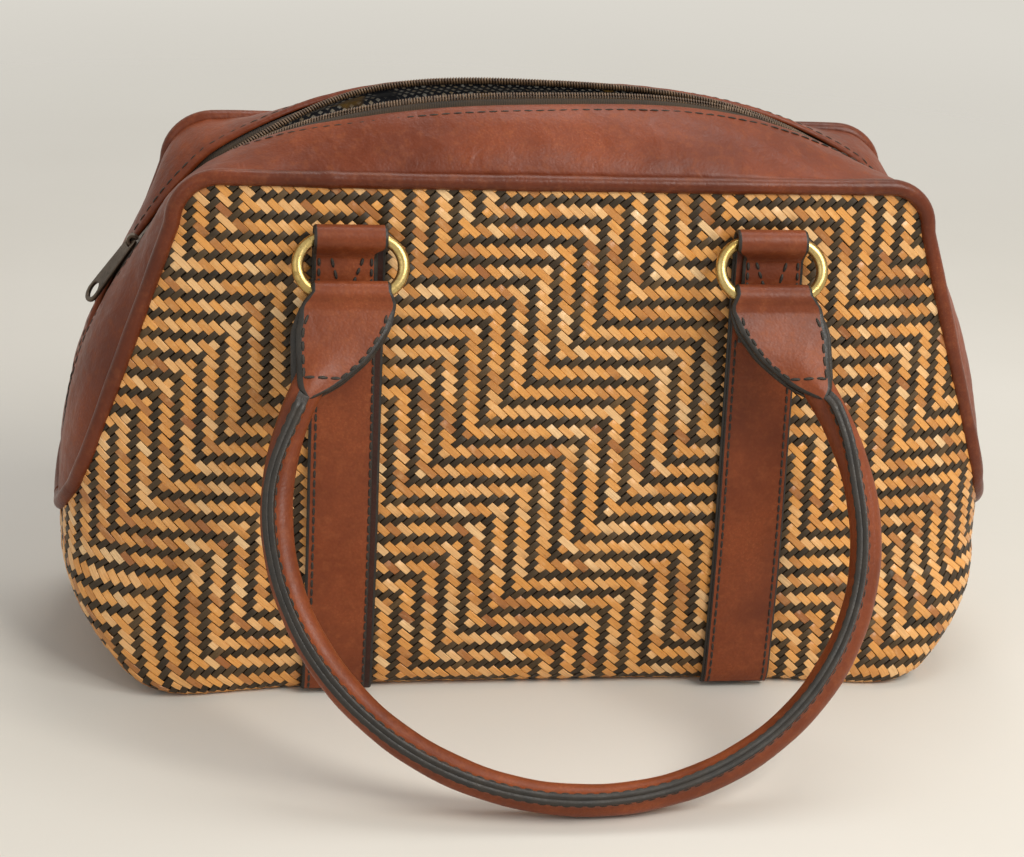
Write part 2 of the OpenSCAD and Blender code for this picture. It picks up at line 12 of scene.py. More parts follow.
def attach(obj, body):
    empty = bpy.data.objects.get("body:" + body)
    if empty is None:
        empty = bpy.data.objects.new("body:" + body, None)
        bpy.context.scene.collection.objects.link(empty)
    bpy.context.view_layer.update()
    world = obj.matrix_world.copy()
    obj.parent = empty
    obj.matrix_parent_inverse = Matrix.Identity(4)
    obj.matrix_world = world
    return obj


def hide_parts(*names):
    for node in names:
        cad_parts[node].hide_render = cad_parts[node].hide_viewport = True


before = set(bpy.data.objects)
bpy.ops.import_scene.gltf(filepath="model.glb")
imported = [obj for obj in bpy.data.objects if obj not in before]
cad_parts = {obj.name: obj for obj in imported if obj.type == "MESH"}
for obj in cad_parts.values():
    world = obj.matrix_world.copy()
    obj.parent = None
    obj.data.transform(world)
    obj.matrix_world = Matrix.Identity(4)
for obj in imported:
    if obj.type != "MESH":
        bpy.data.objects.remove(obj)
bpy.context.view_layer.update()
MM = 0.001
rng = np.random.default_rng(11)

# ---------------------------------------------------------------- sizes, as in the CAD source
BASE_W, BASE_D, BELLY_W, BELLY_Z = 317.0, 139.0, 382.0, 50.0
PANEL_H, PANEL_TOP_W, TOP_D, CORNER_R = 208.0, 285.0, 85.0, 18.0
BASE_R, BASE_BOW, CORNER_OUT, BOW_Z = 9.0, 9.0, 9.0, 80.0
GUSSET_W, TIP_Z, LEATHER_T, BULGE, PIPE_R = 80.0, 60.0, 2.0, 0.1, 3.2
SEAT, RIDGE_H = 0.3, 1.1   # air between parts, and height of the plait under a strap
COIL_Y, TAPE_SHOW, TAPE_W, MOUTH_W, MOUTH_LEFT = 2.7, 6.0, 11.0, 32.0, 0.5
TAPE_OVER = 0.066          # how far the tape runs on under the leather beyond the coil, as a share of a side
SHARE = 0.33               # part of a section's parameter that lies round the corner
ROUND_R = GUSSET_W / 2
ROUND_Z = TIP_Z + ROUND_R
SIDE_Z = TIP_Z + 0.375 * ROUND_R
CORNER_Z = PANEL_H - CORNER_R
SEAM = PIPE_R + SEAT
U_SIDE, U_CORNER, U_FOOT, U_SHOULDER, U_ZIP, U_STRIP = 0.55, 0.68, 0.5, 0.7, 0.463455, 0.092
ZIP_TOP, SHOULDER_Z, FOOT_Z = PANEL_H + 27.0, PANEL_H - 4.0, PANEL_H - 43.0
COIL_IN = LEATHER_T + SEAT + 0.4
STRAP_W, STRAP_T, STRAP_X, LOOP_Z, FOLD_LEN = 28.0, 2.4, 82.0, 188.0, 40.0
WIRE_R, RING_W, RING_H, RING_TILT = 2.3, 45.0, 26.0, 27.0
BORE_R = WIRE_R + 0.3
RING_C = (RING_H - 2 * WIRE_R) / 2
HANDLE_LEAN, HANDLE_W, TUBE_R, FIN_W = 31.8, 226.0, 6.0, 4.4
TAB_LEN, TAB_SPLAY, HANDLE_SIDE = 42.0, 18.0, 6.0
PULL_LEAN, PULL_ROLL = math.radians(4.0), math.radians(15.0)


def mix(a, b, t):
    return a + (b - a) * t


def clamp(t):
    return np.clip(t, 0.0, 1.0)


def soft(t):
    t = clamp(t)
    return t * t * (3 - 2 * t)


def unit(v):
    return v / np.maximum(np.linalg.norm(v, axis=-1, keepdims=True), 1e-9)


def turned(a, b, angle):
    """The two parts of a vector, turned by an angle."""
    c, s = np.cos(angle), np.sin(angle)
    return a * c - b * s, a * s + b * c


def smooth(a, sigma):
    """Gaussian smoothing along the first axis, with the ends carried on straight."""
    k = int(3 * sigma) + 1
    w = np.exp(-0.5 * (np.arange(-k, k + 1) / sigma) ** 2)
    w /= w.sum()
    head = 2 * a[:1] - a[1:k + 1][::-1]
    tail = 2 * a[-1:] - a[-k - 1:-1][::-1]
    p = np.concatenate([head, a, tail])
    return np.stack([np.convolve(p[:, i], w, "valid") for i in range(a.shape[1])], 1)


def lengths(path):
    """Length from the start of a path to each of its points."""
    return np.concatenate([[0], np.cumsum(np.linalg.norm(np.diff(path, axis=0), axis=1))])


def places(s, d, path):
    """Points of a path at the lengths s, where d are the lengths at its own points."""
    return np.stack([np.interp(s, d, path[:, k]) for k in range(path.shape[1])], 1)


# ---------------------------------------------------------------- basket surface
def lean(z):
    return mix(BASE_D, TOP_D, z / PANEL_H) / 2


def foot_fade(z):
    return clamp(1 - z / BOW_Z) ** 2


def half_d(z):
    return lean(z) + CORNER_OUT * foot_fade(z)


def tuck(z):
    h = np.clip(z, 0, BASE_R)
    return BASE_R - np.sqrt(np.maximum(0, BASE_R ** 2 - (BASE_R - h) ** 2))


def bow(z):
    return (BASE_BOW + CORNER_OUT) * foot_fade(z)


def flare(z):
    return BELLY_W / 2 - (BELLY_W - BASE_W) / 2 * clamp(1 - z / BELLY_Z) ** 1.8


def edge_x(z):
    return mix(BELLY_W / 2 - 4, PANEL_TOP_W / 2, (z - SIDE_Z) / (PANEL_H - SIDE_Z))


def half_w(z):
    low = ROUND_Z - ROUND_R / 2
    wide = edge_x(z) / (1 - (ROUND_R / half_d(z)) ** 4) ** 0.25
    return mix(flare(z), wide, clamp((z - low) / (ROUND_Z - low)))


def power(z):
    return mix(9.0, 4.0, clamp(z / BELLY_Z))


def section(z, g, a, b, dip):
    """Points of a level rounded section: half sizes a and b, front bowed in by dip; g runs from the middle (0)
    to the corner (1) and on to the side (1 + SHARE)."""
    n = power(z)
    m = np.abs(g)
    p = np.minimum(m, 1.0)
    q = np.where(m <= 1, 1.0, np.maximum(0.0, (1 + SHARE - m) / SHARE))
    r = (p ** n + q ** n) ** (-1 / n)
    x, y = a * p * r, b * q * r
    return np.stack([np.where(g < 0, -x, x), -y * (1 - dip / b * (1 - (p * r) ** 4)), z + 0 * x], -1)


def skin(z, g, inset=0.0):
    """Points of the basket's face at height z and section place g."""
    z = np.asarray(z, float)
    return section(z, g, half_w(z) - tuck(z) - inset, half_d(z) - tuck(z) - inset, bow(z))


def cut(y, b):
    """Section place g at which a section of half depth b reaches the depth y."""
    f = np.clip(y / b, 1e-4, 0.9999)
    q = f / (1 - f ** 4) ** 0.25
    return np.where(q <= 1, 1 + SHARE * (1 - q), np.maximum(f ** -4.0 - 1, 0) ** 0.25)


def seam_y(z):
    return np.where(z >= ROUND_Z, ROUND_R,
                    ROUND_R * np.sqrt(np.maximum(0, 1 - (1 - np.clip(z - TIP_Z, 0, ROUND_R) / ROUND_R) ** 2)))


def panel_y(x, z):
    n = power(z)
    f = np.abs(x) / half_w(z)
    return -half_d(z) * (1 - f ** n) ** (1 / n) + bow(z) * (1 - f ** 4)


# arc length along the level sections, and its inverse
Z_ROWS = np.arange(0.0, 212.0)
G_COUNT = 1201
G_COLS = np.linspace(0, 1 + SHARE, G_COUNT)
LEVEL_PTS = skin(np.minimum(Z_ROWS, 209.5)[:, None], G_COLS[None, :])
LEVEL_ARC = np.stack([lengths(level) for level in LEVEL_PTS[..., :2]])
ARC_LEN = LEVEL_ARC[:, -1]
G_TABLE = np.stack([np.interp(np.linspace(0, 1, G_COUNT) * whole, arc, G_COLS)
                    for whole, arc in zip(ARC_LEN, LEVEL_ARC)])
# length up the front, through the turn at the base, which ends at 1.0085 times its radius
RISE_Z = np.linspace(0, 211, 4221)
RISE_T = lengths(np.stack([RISE_Z, lean(RISE_Z) - tuck(RISE_Z)], 1))
RISE_T += 1.0085 * BASE_R - np.interp(BASE_R, RISE_Z, RISE_T)


def z_of(t):
    return np.interp(t, RISE_T, RISE_Z)


def g_of(arc, z):
    """Section place g at an arc length from the middle, by the table."""
    r = np.clip(z, 0, len(Z_ROWS) - 1.001)
    i = r.astype(int)
    f = r - i
    t = np.clip(arc / np.interp(z, Z_ROWS, ARC_LEN), 0, 1) * (G_COUNT - 1.001)
    k = t.astype(int)
    w = t - k
    low = G_TABLE[i, k] * (1 - w) + G_TABLE[i, k + 1] * w
    high = G_TABLE[i + 1, k] * (1 - w) + G_TABLE[i + 1, k + 1] * w
    return low * (1 - f) + high * f


# ---------------------------------------------------------------- plaiting
CX, CY, TURN = 2.238095, 2.0, 420      # half a cell's width and height, and half cells round the basket
S0 = CX * TURN / 4                     # a quarter of the way round
X1 = 100.0                             # up to here the pattern isn't stretched


def arc_of(x, z):
    """Arc length on the basket for the pattern's place x."""
    a = np.abs(x)
    ratio = (np.interp(np.minimum(z, TIP_Z), Z_ROWS, ARC_LEN) - X1) / (S0 - X1)
    return np.where(a < X1, a, X1 + (a - X1) * ratio)


def fold(x):
    """Whether the pattern's place x is on the back half, and x from the middle of its half."""
    w = np.mod(x + S0, 4 * S0) - S0
    back = w > S0
    return back, np.where(back, w - 2 * S0, w)


def wall_point(x, t):
    """Point of the basket's outer face for pattern place x, t: x runs round, t up."""
    back, l = fold(x)
    z = z_of(t)
    g = np.sign(l) * g_of(arc_of(l, z), z)
    p = skin(z, g)
    turn = np.where(back, -1.0, 1.0)
    p[..., 0] *= turn
    p[..., 1] *= turn
    return p


def wall(x, t, h):
    """The same, lifted off the face by h."""
    p = wall_point(x, t)
    e = 0.5
    n = unit(np.cross(wall_point(x + e, t) - wall_point(x - e, t),
                      wall_point(x, t + e) - wall_point(x, t - e)))
    q = p + n * h[..., None]
    q[..., 2] = np.maximum(q[..., 2], 0.05)
    return q


def base_point(x, y, h):
    return np.stack([x, y, 0.75 - h], -1)


# along a strip, 11 steps of one run and 10 of the other take turns
REACH = 1200
STEPS = np.where(np.mod(np.arange(-REACH, REACH) - 7, 21) < 11, 1, -1)
PHASE = np.concatenate([[0], np.cumsum(STEPS)])


def light_over(i, j):
    """True where a light strip lies over: level runs and upright runs that meet on rising diagonals."""
    return np.mod(PHASE[i + REACH] - j, 4) < 2


def panel_edge(h):
    """Section place g at which the panel ends at height h, under the piping."""
    if h <= TIP_Z:
        return 1 + SHARE
    if h <= CORNER_Z:
        return float(cut(seam_y(np.array(h)), half_d(h)))
    if h > PANEL_H:
        return 0.0
    x = edge_x(CORNER_Z) - CORNER_R * (1 - math.sqrt(max(0, 1 - ((h - CORNER_Z) / CORNER_R) ** 2)))
    return float(np.interp(x, LEVEL_PTS[int(round(h)), :, 0], G_COLS))


NO_LIMIT = 1e3
LIMIT_ARC = np.array([np.interp(panel_edge(h), G_COLS, arc) if h > TIP_Z else NO_LIMIT
                      for h, arc in zip(Z_ROWS, LEVEL_ARC)])


def on_wall(i, j):
    x, t = (i + j) * CX, (j - i) * CY
    z = z_of(t)
    inside = arc_of(fold(x)[1], z) < np.interp(z, Z_ROWS, LIMIT_ARC) - 0.2
    return (t > RISE_T[0] + 0.5) & (z < PANEL_H - 0.4) & inside


def on_base(i, j):
    x, y = (i + j) * CX, (j - i) * CY
    a, b = half_w(0.0) - BASE_R, half_d(0.0) - BASE_R
    f = np.clip(np.abs(x) / a, 0, 1)
    edge = b * (1 - f ** 9) ** (1 / 9) - (BASE_BOW + CORNER_OUT) * (1 - f ** 4)
    return (np.abs(x) < a) & (np.abs(y) < edge + 0.5)


def runs(over, valid, i, j, along_i):
    """First cells and lengths of the runs of cells in which a strip lies over."""
    di, dj = (1, 0) if along_i else (0, 1)
    ok = over(i, j) & valid(i, j)
    start = ok & ~(over(i - di, j - dj) & valid(i - di, j - dj))
    i, j = i[start], j[start]
    n = np.ones(len(i), int)
    going = np.ones(len(i), bool)
    for k in range(1, 6):
        going &= over(i + k * di, j + k * dj) & valid(i + k * di, j + k * dj)
        n += going
    return i, j, n


def value_noise(strip, place, seed, period):
    """Smooth random values from 0 to 1 along each strip."""
    def grid(a, b):
        h = (a * 73856093) ^ (b * 19349663) ^ (seed * 83492791)
        h = np.mod(h * 2654435761, 4294967296)
        return np.mod(h ^ (h // 65536), 65536) / 65535.0
    q = place / period
    k = np.floor(q).astype(np.int64)
    f = soft(q - k)
    s = strip.astype(np.int64)
    return mix(grid(s, k), grid(s, k + 1), f)


# a stitch has 5 stations along, each with 4 points across
V_PROFILE = np.array([-0.49, -0.42, 0.42, 0.49])
V_DROP = np.array([-0.30, 0.0, 0.0, -0.30])
H_PROFILE = np.array([-0.62, 0.40, 0.54, 0.40, -0.62])
STITCH_PTS = len(H_PROFILE) * len(V_PROFILE)
TOP_LIFT = 0.78            # no point of the plait stands higher than this
CELL = 3.0                 # length of a cell along its strip, for the UVs


def plait(place, valid, i, j, seed):
    """Vertices, faces, materials, tones and UVs of all stitches, light ones first, and one stitch's faces."""
    out = {"v": [], "tone": [], "uv": [], "mat": []}
    for light in (True, False):
        over = light_over if light else (lambda a, b: ~light_over(a, b))
        a, b, n = runs(over, valid, i, j, light)
        m = len(a)
        r = np.random.default_rng(seed + light)
        wide = r.uniform(0.95, 1.03, m) if light else r.uniform(0.86, 0.96, m)
        shift = r.normal(0, 0.03, m)
        rise = r.normal(0, 0.05, m) - (0.0 if light else 0.13)
        e0, e1 = r.uniform(0.26, 0.40, m), r.uniform(0.26, 0.40, m)
        twist = r.normal(0, 0.08, m)
        hold = 0.02 if light else -0.06      # the light strips reach a little over the dark ones
        zero = np.zeros(m)
        along = np.stack([zero - 0.5 - e0, zero - 0.5 - hold, (n - 1) / 2, n - 0.5 + hold, n - 0.5 + e1], 1)
        along = along[:, :, None] + np.zeros((1, 1, 4))
        across = (V_PROFILE * wide[:, None])[:, None, :] + shift[:, None, None] + np.zeros((1, 5, 1))
        lift = H_PROFILE[None, :, None] + V_DROP[None, None, :] + rise[:, None, None] \
            + twist[:, None, None] * (V_PROFILE / 0.49)[None, None, :]
        lift = np.minimum(lift, TOP_LIFT)
        ii = a[:, None, None] + (along if light else across)
        jj = b[:, None, None] + (across if light else along)
        out["v"].append(place((ii + jj) * CX, (jj - ii) * CY, lift).reshape(-1, 3))
        strip, pos = (b, a) if light else (a, b)
        if light:
            tone = 0.55 + 0.34 * (value_noise(strip, pos, 3, 9.0) - 0.5) \
                + 0.22 * (value_noise(strip, zero + 0.5, 5, 1.0) - 0.5) + r.normal(0, 0.15, m)
            brown = value_noise(strip, pos, 8, 13.0)
            tone = tone - 0.42 * soft((brown - 0.72) / 0.12)
        else:
            tone = 0.45 + 0.3 * (value_noise(strip, pos, 4, 11.0) - 0.5) + r.normal(0, 0.14, m)
        tone = np.repeat(np.clip(tone, 0.02, 0.98), STITCH_PTS)
        hue = np.repeat(r.uniform(0, 1, m), STITCH_PTS)
        # painted shade: darker where a stitch lies low, at its ends where it dives under the crossing strips
        # (the tone's blue part)
        low = np.clip((0.20 - lift) / 0.8, 0, 1).reshape(-1)
        out["tone"].append(np.stack([tone, hue, low, np.ones_like(low)], 1))
        u = (along + (a + b)[:, None, None]) * CELL + r.uniform(0, 400, m)[:, None, None]
        w = across * CELL + r.uniform(0, 400, m)[:, None, None]
        out["uv"].append(np.stack([u, w], -1).reshape(-1, 2))
        out["mat"].append(np.full(m, 0 if light else 1))
    v = np.concatenate(out["v"])
    mat = np.concatenate(out["mat"])
    f = []
    for k in range(4):
        for c in range(3):
            f.append([k * 4 + c, k * 4 + c + 1, (k + 1) * 4 + c + 1, (k + 1) * 4 + c])
        f.append([k * 4 + 3, k * 4, (k + 1) * 4, (k + 1) * 4 + 3])
    f += [[3, 2, 1, 0], [16, 17, 18, 19]]
    f = np.array(f)
    faces = (f[None] + STITCH_PTS * np.arange(len(mat))[:, None, None]).reshape(-1, 4)
    return v, faces, np.repeat(mat, len(f)), np.concatenate(out["tone"]), np.concatenate(out["uv"]), f


# ---------------------------------------------------------------- mesh helpers
UV_SCALE = 0.01


def volume(v, f):
    """Signed volume inside closed quads."""
    a, b, c, d = v[f[:, 0]], v[f[:, 1]], v[f[:, 2]], v[f[:, 3]]
    return (np.einsum("ij,ij->i", a, np.cross(b, c)) + np.einsum("ij,ij->i", a, np.cross(c, d))).sum() / 6


def add_object(name, data):
    obj = bpy.data.objects.new(name, data)
    bpy.context.scene.collection.objects.link(obj)
    return obj


class Piece:
    """Collects parts of one object: quads (or triangles with the last corner repeated), materials and UVs."""

    def __init__(self):
        self.v, self.f, self.m, self.uv, self.n = [], [], [], [], 0

    def add(self, v, f, mat=0, uv=None, closed=True):
        v, f = np.asarray(v, float).reshape(-1, 3), np.asarray(f, int)
        if closed and volume(v, f) < 0:
            f = f[:, ::-1]
        self.f.append(f + self.n)
        self.v.append(v)
        self.m.append(np.broadcast_to(np.asarray(mat, int), (len(f),)))
        self.uv.append(np.zeros((len(v), 2)) if uv is None else np.asarray(uv, float).reshape(-1, 2))
        self.n += len(v)
        return self

    def join(self, faces):
        """Adds faces between points that are already there."""
        self.f.append(np.array(faces))
        self.m.append(np.zeros(len(faces), int))

    def make(self, name, mats, body, slot, nodes=(), flip_y=False, tone=None, sharp=None, weld=False):
        v, f = np.concatenate(self.v), np.concatenate(self.f)
        m, uv = np.concatenate(self.m), np.concatenate(self.uv)
        if weld:
            _, first, back = np.unique(np.round(v, 2), axis=0, return_index=True, return_inverse=True)
            f = back.reshape(-1)[f]
            v, uv = v[first], uv[first]
            keep = np.array([len(set(q)) > 2 for q in f.tolist()])
            f, m = f[keep], m[keep]
        if flip_y:
            v = v * np.array([1, -1, 1])
            f = f[:, ::-1]
        tri = (f[:, 3] == f[:, 2]) | (f[:, 3] == f[:, 0])
        tri2 = (f[:, 0] == f[:, 1]) & ~tri
        tri3 = (f[:, 1] == f[:, 2]) & ~tri & ~tri2
        counts = np.where(tri | tri2 | tri3, 3, 4)
        keep = np.ones(f.shape, bool)
        keep[tri, 3] = False
        keep[tri2, 0] = False
        keep[tri3, 1] = False
        loops = f[keep]
        mesh = bpy.data.meshes.new(name)
        mesh.vertices.add(len(v))
        mesh.vertices.foreach_set("co", (v * MM).astype(np.float32).ravel())
        mesh.loops.add(len(loops))
        mesh.loops.foreach_set("vertex_index", loops.astype(np.int32))
        mesh.polygons.add(len(f))
        starts = np.concatenate([[0], np.cumsum(counts)[:-1]])
        mesh.polygons.foreach_set("loop_start", starts.astype(np.int32))
        mesh.polygons.foreach_set("loop_total", counts.astype(np.int32))
        mesh.polygons.foreach_set("material_index", m.astype(np.int32))
        mesh.polygons.foreach_set("use_smooth", np.ones(len(f), bool))
        for mat in mats:
            mesh.materials.append(mat)
        layer = mesh.uv_layers.new(name="strip")
        layer.data.foreach_set("uv", (uv[loops] * UV_SCALE).astype(np.float32).ravel())
        if tone is not None:
            att = mesh.color_attributes.new("tone", "FLOAT_COLOR", "POINT")
            att.data.foreach_set("color", tone.astype(np.float32).ravel())
        mesh.update(calc_edges=True)
        mesh.validate()
        if sharp is not None:
            mesh.set_sharp_from_angle(angle=math.radians(sharp))
        obj = add_object(name, mesh)
        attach(obj, body)
        if nodes:
            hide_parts(*nodes)
        return obj


def grid_quads(n, m):
    """Quads of a sheet with n rows of m points."""
    k, i = np.meshgrid(np.arange(n - 1), np.arange(m - 1), indexing="ij")
    a = k * m + i
    return np.stack([a, a + 1, a + m + 1, a + m], -1).reshape(-1, 4)


def loft(loops):
    """Quads through closed loops of equal size, with fans at the two ends; loops is (n, m, 3)."""
    n, m = loops.shape[:2]
    k, i = np.meshgrid(np.arange(n - 1), np.arange(m), indexing="ij")
    a, b = k * m + i, k * m + (i + 1) % m
    f = np.stack([a, b, b + m, a + m], -1).reshape(-1, 4)
    v = np.concatenate([loops.reshape(-1, 3), loops[0].mean(0)[None], loops[-1].mean(0)[None]])
    i = np.arange(m)
    j, e = (i + 1) % m, (n - 1) * m
    c0, c1 = n * m + 0 * i, n * m + 1 + 0 * i
    f = np.concatenate([f, np.stack([j, i, c0, c0], 1), np.stack([e + i, e + j, c1, c1], 1)])
    return v, f


def tangents(path):
    return unit(np.gradient(path, axis=0))


def tube(path, radius, sides, hint, closed=False):
    """Round tube; radius may vary along the path, and hint is a direction that the path never takes."""
    t = unit(np.roll(path, -1, 0) - np.roll(path, 1, 0)) if closed else tangents(path)
    b = unit(np.cross(t, np.broadcast_to(hint, t.shape)))
    n = np.cross(b, t)
    a = np.linspace(0, 2 * math.pi, sides, endpoint=False)
    r = np.broadcast_to(radius, (len(path),))[:, None, None]
    ring = np.cos(a)[None, :, None] * b[:, None] + np.sin(a)[None, :, None] * n[:, None]
    loops = path[:, None] + r * ring
    if not closed:
        return loft(loops)
    k, i = np.meshgrid(np.arange(len(path)), np.arange(sides), indexing="ij")
    here, there, j = k * sides, (k + 1) % len(path) * sides, (i + 1) % sides
    f = np.stack([here + i, here + j, there + j, there + i], -1)
    return loops.reshape(-1, 3), f.reshape(-1, 4)


def resample(path, step):
    """The path in even steps, and the length at each point."""
    d = lengths(path)
    n = max(2, int(round(d[-1] / step)) + 1)
    s = np.linspace(0, d[-1], n)
    return places(s, d, path), s


def thread(piece, path, normal, mat, length, gap, radius, sink=0.12, wobble=0.12):
    """A row of sewn stitches along a path on a surface: one bead of thread for each stitch."""
    d = lengths(path)
    count = int((d[-1] + gap) / (length + gap))
    if count < 1:
        return
    pitch = (d[-1] + gap) / count
    normal = np.broadcast_to(normal, path.shape)
    ts = np.array([0.0, 0.12, 0.38, 0.62, 0.88, 1.0])
    rs = np.array([0.35, 0.8, 1.0, 1.0, 0.8, 0.35])
    hs = np.array([-0.55, 0.05, 0.35, 0.35, 0.05, -0.55])
    for s0 in np.arange(count) * pitch:
        s = s0 + ts * (pitch - gap)
        c, n = places(s, d, path), unit(places(s, d, normal))
        side = unit(np.cross(c[-1] - c[0], n[2]))
        c = c + n * (hs * radius - sink)[:, None] + side * (rng.normal(0, wobble) * (ts - 0.5))[:, None]
        v, f = tube(c, rs * radius, 6, n[2])
        piece.add(v, f, mat)


# ---------------------------------------------------------------- seam lines of the leather
def pipe_pts(u):
    """Line of the piping on the right front half: u from the foot (0) to the middle of the top (1)."""
    u = np.asarray(u, float)
    z = mix(TIP_Z, CORNER_Z, (np.clip(u, 0, U_SIDE) / U_SIDE) ** 2)
    low = skin(z, cut(seam_y(z), half_d(z)))
    f = np.radians(90) * clamp((u - U_SIDE) / (U_CORNER - U_SIDE))
    x, zc = edge_x(CORNER_Z) - CORNER_R * (1 - np.cos(f)), CORNER_Z + CORNER_R * np.sin(f)
    turn = np.stack([x, panel_y(x, zc), zc], -1)
    xt = (edge_x(CORNER_Z) - CORNER_R) * (1 - clamp((u - U_CORNER) / (1 - U_CORNER)))
    top = np.stack([xt, panel_y(xt, PANEL_H + 0 * xt), PANEL_H + 0 * xt], -1)
    return np.where((u < U_SIDE)[:, None], low, np.where((u < U_CORNER)[:, None], turn, top))


SHOULDER_X = edge_x(SHOULDER_Z) - 12.8
FOOT_X = edge_x(FOOT_Z) + 6.1
ZIP_ANGLE = math.atan2(SHOULDER_Z - FOOT_Z, FOOT_X - SHOULDER_X)
CLOSED_Y = 0.2             # half the gap between the gussets beyond the zip


def side_x(z):
    top = BELLY_W / 2 - 1
    return top - (top - FOOT_X) * clamp((z - SIDE_Z) / (FOOT_Z - SIDE_Z)) ** 2.3


def zip_pts(u, side):
    """Line of the front coil, drawn on the right; side is -1 for the left half, where the mouth is wider."""
    u = np.asarray(u, float)
    w = side * (1 - u) / (1 - U_SHOULDER)
    mouth = soft(np.where(w < -MOUTH_LEFT, (1 + w) / (1 - MOUTH_LEFT), (1 - w) / (1 + MOUTH_LEFT)))
    half = np.where(u < U_SHOULDER, mix(CLOSED_Y, COIL_Y, soft((u - U_ZIP + 0.05) / 0.04)),
                    mix(COIL_Y, MOUTH_W / 2, mouth))
    z = mix(TIP_Z, FOOT_Z, (np.clip(u, 0, U_FOOT) / U_FOOT) ** 2)
    low = np.stack([side_x(z), -half, z], -1)
    t = clamp((u - U_FOOT) / (U_SHOULDER - U_FOOT))
    run = np.stack([mix(FOOT_X, SHOULDER_X, t), -half, mix(FOOT_Z, SHOULDER_Z, t)], -1)
    x = SHOULDER_X * (1 - clamp((u - U_SHOULDER) / (1 - U_SHOULDER)))
    top = np.stack([x, -half, mix(ZIP_TOP, SHOULDER_Z, (x / SHOULDER_X) ** 3)], -1)
    return np.where((u < U_FOOT)[:, None], low, np.where((u < U_SHOULDER)[:, None], run, top))


class Strip:
    """Dense stations from the left foot over the top to the right foot."""

    def __init__(self, n):
        half = np.linspace(0.0, 1.0, n)
        p, left, right = pipe_pts(half), zip_pts(half, -1), zip_pts(half, 1)
        mirror = np.array([-1.0, 1, 1])
        self.u = np.concatenate([half, half[-2::-1]])
        self.side = np.concatenate([np.full(n, -1.0), np.full(n - 1, 1.0)])
        self.p = np.concatenate([p * mirror, p[-2::-1]])
        self.q = smooth(np.concatenate([left * mirror, right[-2::-1]]), n * 0.012)
        self.d = self.q - self.p
        self.l = np.linalg.norm(self.d, axis=1)
        t = np.gradient(self.p + self.q, axis=0)
        lift = unit(np.cross(t, self.d))
        top = self.u > 0.6                 # there the leather faces up, lower down it faces outwards
        lift[np.where(top, lift[:, 2], lift[:, 0] * self.side) < 0] *= -1
        self.lift = unit(smooth(lift, n * 0.016))

    def leather(self, k, v, depth):
        """Points for station numbers k (n,) and shares v (n, m), set in by depth."""
        puff = 4 * v * (1 - v) * BULGE * self.l[k][:, None] - depth
        flat = self.p[k][:, None] + v[..., None] * self.d[k][:, None]
        return flat + puff[..., None] * self.lift[k][:, None]

    def line(self, k, v, depth=0.0):
        """One point for each station: shares v (n,), set in by depth."""
        return self.leather(k, v[:, None], np.broadcast_to(depth, v.shape)[:, None])[:, 0]

    def leather_from(self, k):
        """Distance from the piping's line at which the leather starts."""
        z = self.p[k][:, 2]
        y = -self.p[k][:, 1]
        inner = np.sqrt(np.maximum(0, (ROUND_R - SEAM) ** 2 - np.maximum(0, ROUND_Z - z) ** 2))
        return np.where(z >= ROUND_Z, SEAM, np.maximum(SEAM, y - inner))

    def zip_gap(self, k):
        """Distance from the coil's line at which the leather ends."""
        return mix(2 * SEAT, TAPE_SHOW, soft((self.u[k] - U_ZIP + 0.06) / 0.05))


# ---------------------------------------------------------------- materials
def srgb(r, g, b):
    c = np.array([r, g, b]) / 255.0
    lin = np.where(c <= 0.04045, c / 12.92, ((c + 0.055) / 1.055) ** 2.4)
    return (float(lin[0]), float(lin[1]), float(lin[2]), 1.0)


